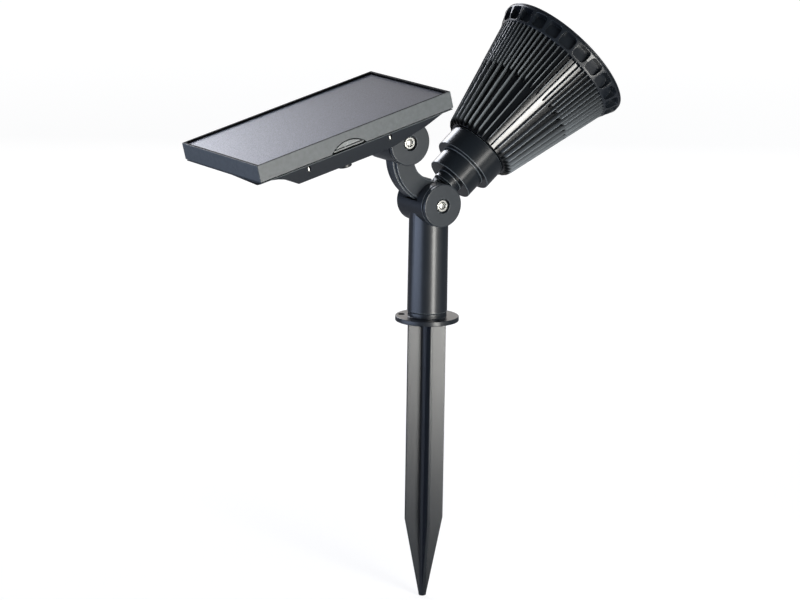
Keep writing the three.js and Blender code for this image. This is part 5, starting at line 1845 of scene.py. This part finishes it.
    def cell(self) -> bpy.types.Object:
        """Builds the cell sheet.

        Returns:
            The sheet.
        """
        top = self.lip_height
        sheet = self.plate(self.lip + self.gap, top, top + self.cell_thickness, 0.3)
        return soften(solid(sheet), 0.1)

    def hatch(self) -> bpy.types.Object:
        """Builds the battery hatch with a field sunk into its outer face.

        Returns:
            The hatch.
        """
        length, width = (size - 2 * self.gap for size in self.hatch_size)
        top = -self.floor + 1.6
        outline = box_outline(length, width, self.hatch_corner, self.hatch_middle)
        hatch = solid(prism(outline, -self.floor, top))
        field = box_outline(length - 20, width - 8, 2.0, self.hatch_middle)
        combine(hatch, Join.CUT, prism(field, -self.floor - 1, -self.floor + 0.5))
        return soften(hatch, 0.25)

    def ribs(self) -> bpy.types.Object:
        """Sample of a finger rib on the hatch: a low bar with round ends."""
        outline = box_outline(1.6, 22.0, 0.75)
        return soften(solid(prism(outline, -0.5, 0.35)), 0.2)

    def button(self) -> bpy.types.Object:
        """Builds the power button with a shallow dish in its face.

        Returns:
            The button.
        """
        low = -self.button_end
        corners = [
            (0.0, low + 0.4),
            (self.button_radius - 1.6, low + 0.12, 0.6),
            (self.button_radius - 1.1, low, 0.4),
            (self.button_radius, low, 0.7),
            (self.button_radius, -20.0),
            (self.button_radius + 1.0, -20.0),
            (self.button_radius + 1.0, -19.1),
            (0.0, -19.1),
        ]
        at_button = Matrix.Translation((*self.button_place, 0.0))
        return solid(turned(rounded(corners), FINE).moved(at_button))

    def build(self, scatter: bpy.types.NodeTree, sample: bpy.types.Object) -> None:
        """Builds and dresses every piece of the panel.

        Args:
            scatter: Tree that puts a sample on points.
            sample: The screw.
        """
        on, button = Body.PANEL, Body.BUTTON
        for make, name, finish, body, node in (
            (self.frame, "frame_form", FRAME_ABS, on, "panel_frame"),
            (self.cell, "cell_sheet_form", SOLAR_FILM, on, "solar_cell_sheet"),
            (self.insert, "insert_form", SMOKED_ACRYLIC, on, "half_moon_insert"),
            (self.shell, "back_shell_form", BLACK_ABS, on, "back_shell"),
            (self.hatch, "hatch_form", BLACK_ABS, on, "battery_hatch"),
            (self.button, "button_form", BUTTON_ABS, button, "power_button"),
        ):
            finish_piece(make(), name, AT_PANEL, finish, body, [node])
        rib = self.ribs()
        x, y = self.hatch_middle
        rib_places = [(x + offset, y, -self.floor + 0.5) for offset in range(-12, 13, 4)]
        ribs = scattered(scatter, rib, rib_places, UPSIDE_DOWN, FULL_SIZE, BLACK_ABS)
        finish_piece(ribs, "hatch_ribs", AT_PANEL, BLACK_ABS, on, [])
        discard(rib)
        self.build_screws(scatter, sample)
        dress_nodes(SILICONE, "shell_gasket")
        dress_nodes(BLACK_POLYPROPYLENE, "battery_holder", "push_switch")
        for index in (1, 2):
            dress_nodes(BATTERY_SLEEVE, f"battery_cell_{index}")
            dress_nodes(NICKEL_STEEL, f"battery_contact_{index}", f"board_screw_{index}")
        dress_nodes(SOLDER_MASK, "control_board")

    def build_screws(self, scatter: bpy.types.NodeTree, sample: bpy.types.Object) -> None:
        """Builds and dresses the screws of the walls and of the hatch.

        Args:
            scatter: Tree that puts a sample on points.
            sample: The screw.
        """
        for side, title, nodes in (
            (-1, "near", ["side_screw_1", "side_screw_3"]),
            (1, "far", ["side_screw_2", "side_screw_4"]),
        ):
            turn = (math.radians(-90 * side), 0.0, 0.0)
            places = self.screw_places(side)
            size = (self.screw_slim, self.screw_radius, self.screw_radius)
            screws = scattered(scatter, sample, places, turn, size, NICKEL_STEEL)
            finish_piece(screws, f"{title}_side_screws", AT_PANEL, NICKEL_STEEL, Body.PANEL, nodes)
        x, y = self.hatch_middle
        places = [(x + side * self.hatch_screw_span, y, -self.floor) for side in (-1, 1)]
        size = (self.hatch_screw_radius,) * 3
        screws = scattered(scatter, sample, places, UPSIDE_DOWN, size, NICKEL_STEEL)
        nodes = ["hatch_screw_1", "hatch_screw_2"]
        finish_piece(screws, "hatch_screws", AT_PANEL, NICKEL_STEEL, Body.PANEL, nodes)


@dataclass(frozen=True)
class LampHead:
    """Lamp head: neck, finned housing, bezel and optics, measured along its axis."""

    neck_start: float = 13.95
    neck_foot_radius: float = 7.2
    neck_shoulder: float = 15.2
    neck_radius: float = 8.4
    collar_start: float = 19.7
    collar_step: float = 32.2
    collar_end: float = 46.6
    small_collar: float = 15.3
    large_collar: float = 19.8
    web_half: float = 6.4
    lug_start: float = 16.6
    lug_end: float = 21.2
    housing_start: float = 46.9
    fin_end: float = 118.0
    fin_foot: float = 24.3
    fin_head: float = 42.0
    fin_height: float = 3.1
    fin_width: float = 0.44
    fin_count: int = 36
    fin_edge: float = 0.12
    fin_edge_angle: float = 50.0
    fin_foot_length: float = 2.2
    highlight_depth: float = 0.08
    short_start: float = 88.0
    waist: float = 122.4
    waist_radius: float = 44.5
    shoulder: float = 127.2
    flare_end: float = 128.3
    rim_radius: float = 46.4
    pockets: int = 24
    pocket_width: float = 9.7
    pocket_from: float = 119.2
    pocket_to: float = 127.0
    pocket_corner: float = 2.6
    pocket_floor: float = 41.2
    seat: float = 122.6
    seat_radius: float = 38.9
    chamber: float = 36.0
    lens_radius: float = 38.5
    lens_start: float = 123.8
    lens_thickness: float = 2.2
    lens_crown: float = 1.0
    bezel_lip: float = 126.15
    bezel_start: float = 128.6
    bezel_top: float = 129.7
    bezel_inner: float = 36.6
    reflector_start: float = 109.6
    reflector_top: float = 122.45
    reflector_radius: float = 35.6
    bowl: tuple[Pair, ...] = ((3.9, 0.0), (6.6, 2.6), (8.6, 5.8), (9.9, 9.25))
    bowl_mouth: float = 10.7
    led_count: int = 4
    led_circle: float = 16.4
    led_start: float = 109.45

    def cone(self, height: float) -> float:
        """Radius of the fins' edges at a height."""
        slope = (self.fin_head - self.fin_foot) / (self.fin_end - self.housing_start)
        return self.fin_foot + slope * (height - self.housing_start)

    def neck(self) -> bpy.types.Object:
        """Builds the neck: lug, web, neck and two collars.

        Returns:
            The neck.
        """
        corners = [
            (0.0, self.neck_start),
            (self.neck_foot_radius, self.neck_start, 0.4),
            (self.neck_radius, self.neck_shoulder, 0.5),
            (self.neck_radius, self.collar_start, 0.5),
            (self.small_collar, self.collar_start, 0.45),
            (self.small_collar, self.collar_step, 0.5),
            (self.large_collar, self.collar_step, 0.45),
            (self.large_collar, self.collar_end, 0.6),
            (0.0, self.collar_end),
        ]
        turn_back = AT_LAMP.inverted() @ AT_LOWER
        lug = STACK.disc(STACK.lug_radius, self.lug_start, self.lug_end).moved(turn_back)
        middle = STACK.drum_length / 2
        web_low, web_high = self.lug_start - middle, self.lug_end - middle
        web = slab(
            (-self.web_half, web_low, 0.0), (self.web_half, web_high, self.neck_start + 1.0)
        )
        neck = combine(solid(turned(rounded(corners))), Join.ADD, lug, web)
        bore = STACK.disc(STACK.bore_radius, -OVERRUN, STACK.drum_length + OVERRUN, FINE)
        combine(neck, Join.CUT, bore.moved(turn_back))
        return paint_edge_highlights(soften(neck, 0.25), NECK_ABS)

    def housing(self) -> bpy.types.Object:
        """Builds the cone and the flare with its pockets, hollow at the front.

        Returns:
            The housing, with its own two materials.
        """
        wall = self.fin_height
        corners = [
            (0.0, self.housing_start),
            (self.cone(self.housing_start) - wall, self.housing_start, 0.5),
            (self.cone(self.fin_end) - wall, self.fin_end),
            (self.fin_head, self.fin_end, 0.4),
            (self.waist_radius, self.waist, 2.0),
            (self.rim_radius, self.shoulder, 0.6),
            (self.rim_radius, self.flare_end, 0.3),
            (self.seat_radius, self.flare_end, 0.3),
            (self.seat_radius, self.seat),
            (self.chamber, self.seat),
            (self.chamber, self.reflector_start - 2.3),
            (0.0, self.reflector_start - 2.3),
        ]
        housing = solid(turned(rounded(corners), HEAD_SIDES))
        middle = (self.pocket_from + self.pocket_to) / 2
        outline = box_outline(
            self.pocket_width, self.pocket_to - self.pocket_from, self.pocket_corner, (0.0, middle)
        )
        cutter = prism(outline, self.pocket_floor, self.rim_radius + OVERRUN).moved(ALONG_X)
        step = math.tau / self.pockets
        cutters = [
            cutter.moved(Matrix.Rotation(step * (index + 0.5), 4, "Z"))
            for index in range(self.pockets)
        ]
        combine(housing, Join.CUT, cutters[0].beside(*cutters[1:]))
        soften(housing, 0.3)
        housing.data.materials.append(material_of(BLACK_ABS))
        housing.data.materials.append(material_of(GAP_ABS))
        # Painted shade: the cone's face between the fins gets the deep black finish.
        for polygon in housing.data.polygons:
            polygon.material_index = int(polygon.center.z < self.fin_end - 0.1)
        return housing

    def fins(self) -> bpy.types.Object:
        """Grows the long and the short fins.

        Returns:
            The fins, with the attribute that says where they get the painted highlight.
        """
        tree = blade_tree()
        grown = []
        for start, shift in ((self.housing_start, 0.0), (self.short_start, 0.5)):
            ring = solid(slab((0.0, 0.0, 0.0), (1.0, 1.0, 1.0)), "fins")
            values = {
                "Start": start,
                "End": self.fin_end + 0.2,
                "Foot radius": self.cone(start),
                "Head radius": self.fin_head,
                "Height": self.fin_height + 0.4,
                "Width": self.fin_width,
                "Foot": self.fin_foot_length,
                "Shift": shift,
                "Count": self.fin_count,
                "Finish": material_of(FIN_ABS),
            }
            grow(ring, tree, values)
            grown.append(taken(ring))
        fins = solid(grown[0].beside(grown[1]), "fins")
        bevel = fins.modifiers.new("round edges", "BEVEL")
        bevel.width = self.fin_edge
        bevel.segments = EDGE_STEPS
        bevel.limit_method = "ANGLE"
        bevel.angle_limit = math.radians(self.fin_edge_angle)
        settle(fins)
        mesh = fins.data
        points = shape_of(fins).points
        # Painted highlight: points near the fins' outer edges get the pale colour.
        depth = self.cone(points[:, 2]) - np.hypot(points[:, 0], points[:, 1])
        painted_highlight = mesh.attributes.new(PAINTED_HIGHLIGHT, "FLOAT", "POINT")
        painted_highlight.data.foreach_set("value", np.clip(1 - depth / self.highlight_depth, 0, 1))
        return fins

    def bezel(self) -> bpy.types.Object:
        """Builds the ring that holds the lens, with a fine groove round its face.

        Returns:
            The ring.
        """
        corners = [
            (self.bezel_inner, self.bezel_lip),
            (self.lens_radius, self.bezel_lip),
            (self.lens_radius, self.bezel_start),
            (self.rim_radius, self.bezel_start, 0.3),
            (self.rim_radius, self.bezel_top, 0.9),
            (self.rim_radius - 2.4, self.bezel_top, 0.3),
            (self.rim_radius - 2.7, self.bezel_top - 0.4, 0.2),
            (self.rim_radius - 3.0, self.bezel_top, 0.3),
            (self.bezel_inner, self.bezel_top, 0.9),
        ]
        return solid(turned(rounded(corners), HEAD_SIDES))

    def lens(self) -> bpy.types.Object:
        """Builds the lens: flat behind, crowned in front.

        Returns:
            The lens.
        """
        edge = self.lens_start + self.lens_thickness
        inner = self.bezel_inner - 0.3
        crown = [
            (inner * math.sin(angle), edge + self.lens_crown * (1 - math.sin(angle) ** 2))
            for angle in np.linspace(math.pi / 2, 0, 12)[:-1]
        ]
        outline = [
            (0.0, self.lens_start),
            (self.lens_radius, self.lens_start),
            (self.lens_radius, edge),
            *crown,
            (0.0, edge + self.lens_crown),
        ]
        return solid(turned(outline))

    def reflector(self) -> bpy.types.Object:
        """Builds the reflector with a faceted bowl for each LED.

        Returns:
            The reflector.
        """
        start, top = self.reflector_start, self.reflector_top
        corners = [
            (0.0, start),
            (22.3, start),
            (28.6, top - 1.4),
            (self.reflector_radius, top - 1.4),
            (self.reflector_radius, top, 0.3),
            (0.0, top),
        ]
        bowl = turned(
            [
                (0.0, start - 1),
                (self.bowl[0][0], start - 1),
                *((radius, start + height) for radius, height in self.bowl),
                (self.bowl_mouth, top),
                (self.bowl_mouth + 0.2, top + 1),
                (0.0, top + 1),
            ],
            BOWL_FACETS,
        )
        bowls = [bowl.moved(Matrix.Translation(place)) for place in self.led_places()]
        body = combine(solid(turned(rounded(corners))), Join.CUT, bowls[0].beside(*bowls[1:]))
        return soften(body, 0.12)

    def led_places(self) -> list[Place]:
        """Places of the LEDs round the axis, at the height of the axis' zero.

        Returns:
            The places.
        """
        step = 360 / self.led_count
        return [
            (*arc(ORIGIN, self.led_circle, step * index, step * index, 1)[0], 0.0)
            for index in range(self.led_count)
        ]

    def led_sample(self) -> bpy.types.Object:
        """Sample of an LED's dome: a smooth lens on a square base.

        Returns:
            The LED.
        """
        dome = [(1.9 * math.cos(a), 0.9 + 0.8 * math.sin(a)) for a in np.linspace(0, 1.45, 9)]
        turned_dome = turned([(0.0, 0.5), (1.9, 0.5), *dome, (0.0, 1.7)], SAMPLE_SIDES)
        base = soften(solid(slab((-2.5, -2.5, 0.0), (2.5, 2.5, 0.9))), 0.15)
        return combine(base, Join.ADD, turned_dome)

    def build(self, scatter: bpy.types.NodeTree) -> None:
        """Builds and dresses every piece of the lamp head.

        Args:
            scatter: Tree that puts a sample on points.
        """
        on = Body.LAMP
        for make, name, finish, nodes in (
            (self.neck, "neck_form", NECK_ABS, ["lamp_neck"]),
            (self.housing, "housing_form", BLACK_ABS, ["lamp_housing"]),
            (self.fins, "housing_fins", FIN_ABS, []),
            (self.bezel, "bezel_form", BLACK_ABS, ["bezel_ring"]),
            (self.lens, "lens_form", CLEAR_LENS, ["front_lens"]),
            (self.reflector, "reflector_form", VACUUM_ALUMINIUM, ["reflector"]),
        ):
            finish_piece(make(), name, AT_LAMP, finish, on, nodes)
        sample = self.led_sample()
        places = [(x, y, self.led_start) for x, y, _ in self.led_places()]
        leds = scattered(scatter, sample, places, NO_TURN, FULL_SIZE, PHOSPHOR_RESIN)
        nodes = [f"led_{index + 1}" for index in range(self.led_count)]
        finish_piece(leds, "leds_form", AT_LAMP, PHOSPHOR_RESIN, on, nodes)
        discard(sample)
        dress_nodes(SILICONE, "neck_seal", "lens_gasket")
        dress_nodes(WHITE_LACQUER, "led_board")
        dress_nodes(NICKEL_STEEL, "neck_screw_1", "neck_screw_2", "neck_screw_3")
        dress_nodes(NICKEL_STEEL, "led_screw_1", "led_screw_2")


@dataclass(frozen=True)
class Softbox:
    """A rectangular studio lamp that faces the object."""

    name: str
    place: Place
    size: Pair
    radiance: float
    colour: str

    def build(self, target: Vector) -> None:
        """Makes the lamp.

        Args:
            target: The point that it faces.
        """
        data = bpy.data.lights.new(self.name, "AREA")
        data.shape = "RECTANGLE"
        data.size, data.size_y = self.size
        data.energy = self.radiance * math.pi * self.size[0] * self.size[1]
        data.color = linear(self.colour)[:3]
        lamp = bpy.data.objects.new(self.name, data)
        bpy.context.scene.collection.objects.link(lamp)
        lamp.location = self.place
        lamp.rotation_euler = (Vector(self.place) - target).to_track_quat("Z", "Y").to_euler()
        lamp.visible_camera = False


@dataclass(frozen=True)
class Studio:
    """Camera, lamps, white surroundings and pale floor, in degrees and metres.

    A glow is the distance from the middle and the floor's own light there, as the camera sees it.
    """

    azimuth: float = -32.9279
    elevation: float = 12.4260
    roll: float = 0.88935
    distance: float = 2.23507
    shift_right: float = -0.016912
    shift_up: float = 0.012412
    focal_length: float = 162.042
    sensor: float = 36.0
    floor_level: float = -0.1785
    floor_size: float = 30.0
    floor_grain: float = 3.0
    near_glow: Pair = (0.2, 0.76)
    far_glow: Pair = (2.5, 0.94)
    aim: Place = (-0.02, 0.0, 0.05)
    surroundings: float = 0.38
    reflected: float = 0.1
    softboxes: tuple[Softbox, ...] = (
        Softbox("key_softbox", (0.01, -0.47, -0.018), (0.1, 0.31), 24.0, "#fffdf8"),
        Softbox("left_softbox", (-0.83, 0.17, -0.05), (1.0, 0.23), 6.5, "#cfdfff"),
        Softbox("cone_softbox", (-0.06, -0.5, 0.135), (0.15, 0.1), 24.0, "#fffdf8"),
        Softbox("collar_softbox", (0.165, -0.495, 0.16), (0.13, 0.1), 8.0, "#fffdf8"),
        Softbox("front_softbox", (0.47, -0.75, -0.1), (0.5, 0.15), 1.0, "#fffdf8"),
        Softbox("top_softbox", (0.03, 1.1, 0.62), (0.45, 0.5), 11.0, "#f2f5ff"),
        Softbox("back_softbox", (0.8, 1.3, 0.42), (1.2, 0.8), 1.3, "#fff9f4"),
        Softbox("right_softbox", (1.0, 0.0, 0.95), (1.3, 1.3), 1.0, "#f4f6ff"),
    )

    def build_camera(self) -> None:
        """Sets the camera at the photograph's place and angle."""
        a, e, r = (math.radians(v) for v in (self.azimuth, self.elevation, self.roll))
        right = Vector((math.cos(a), math.sin(a), 0.0))
        back = Vector((math.sin(a) * math.cos(e), -math.cos(a) * math.cos(e), math.sin(e)))
        up = back.cross(right)
        across = right * math.cos(r) + up * math.sin(r)
        upward = up * math.cos(r) - right * math.sin(r)
        target = right * self.shift_right + Vector((0.0, 0.0, self.shift_up))
        data = bpy.data.cameras.new("camera")
        data.sensor_fit = "HORIZONTAL"
        data.sensor_width = self.sensor
        data.lens = self.focal_length
        data.clip_end = 100.0
        camera = bpy.data.objects.new("camera", data)
        bpy.context.scene.collection.objects.link(camera)
        turn = Matrix((across, upward, back)).transposed().to_4x4()
        camera.matrix_world = Matrix.Translation(target + back * self.distance) @ turn
        bpy.context.scene.camera = camera

    def build_world(self) -> None:
        """Makes the surroundings: white to the eye and through glass, dimmer in reflections."""
        world = bpy.data.worlds.new("studio")
        world.use_nodes = True
        world.node_tree.nodes.clear()
        add = partial(add_node, world.node_tree)
        path = add(Kind.LIGHT_PATH)
        mirrored = path.outputs["Is Glossy Ray"]
        seen = add(
            Kind.MATH,
            {0: path.outputs["Is Camera Ray"], 1: path.outputs["Is Transmission Ray"]},
            operation="MAXIMUM",
        )
        light = add(Kind.MIX, {"Factor": mirrored, 2: self.surroundings, 3: self.reflected})
        strength = add(Kind.MIX, {"Factor": seen, 2: light, 3: 1.0})
        tint = add(
            Kind.MIX, {"Factor": mirrored, 6: WHITE, 7: linear("#c3d2e6")}, data_type="RGBA"
        )
        background = add(Kind.BACKGROUND, {"Color": tint.outputs[2], "Strength": strength})
        add(Kind.WORLD_OUTPUT, {"Surface": background})
        bpy.context.scene.world = world

    def build_floor(self) -> None:
        """Makes the floor, which stays pale far away and keeps the object's shadow."""
        half = self.floor_size / 2
        mesh = bpy.data.meshes.new("floor")
        corners = [(-half, -half), (half, -half), (half, half), (-half, half)]
        mesh.from_pydata([(x, y, self.floor_level) for x, y in corners], [], [(0, 1, 2, 3)])
        floor = bpy.data.objects.new("floor", mesh)
        bpy.context.scene.collection.objects.link(floor)
        material, add, where = new_material("white_studio_paper")
        path = add(Kind.LIGHT_PATH)
        away = add(Kind.VECTOR_MATH, {0: where}, operation="LENGTH")
        far = add(
            Kind.RANGE,
            {
                "Value": away.outputs["Value"],
                "From Min": self.near_glow[0],
                "From Max": self.far_glow[0],
                "To Min": self.near_glow[1],
                "To Max": self.far_glow[1],
            },
        )
        seen = add(
            Kind.MATH,
            {0: path.outputs["Is Camera Ray"], 1: path.outputs["Is Transmission Ray"]},
            operation="MAXIMUM",
        )
        glow = add(Kind.MATH, {0: far, 1: seen}, operation="MULTIPLY")
        fibres = add(
            Kind.NOISE, {"Vector": where, "Scale": grain_scale(self.floor_grain), "Detail": 3.0}
        )
        tone = add(
            Kind.MIX,
            {"Factor": fibres, 6: linear("#7c7d80"), 7: linear("#808183")},
            data_type="RGBA",
        )
        shader = add(
            Kind.PRINCIPLED,
            {
                "Base Color": tone.outputs[2],
                "Roughness": 0.9,
                "Specular IOR Level": 0.1,
                "Emission Color": WHITE,
                "Emission Strength": glow,
            },
        )
        add(Kind.OUTPUT, {"Surface": shader})
        mesh.materials.append(material)

    def build(self) -> None:
        """Builds the whole studio."""
        self.build_camera()
        self.build_world()
        self.build_floor()
        for softbox in self.softboxes:
            softbox.build(Vector(self.aim))
        bpy.context.scene.view_settings.view_transform = "Standard"


def main() -> None:
    """Builds the studio and the light's assemblies in order."""
    logging.basicConfig(level=logging.INFO, format="%(name)s: %(message)s")
    Studio().build()
    scatter = scatter_tree()
    screw = ScrewSample().build()
    Stand().build()
    Pivot("lower", LOWER_DRUM_RADIUS, AT_LOWER, Body.STAND).build()
    Arm().build(scatter, screw)
    Pivot("upper", UPPER_DRUM_RADIUS, AT_UPPER, Body.PANEL).build()
    Panel().build(scatter, screw)
    LampHead().build(scatter)
    discard(screw)


if __name__ == "__main__":
    main()
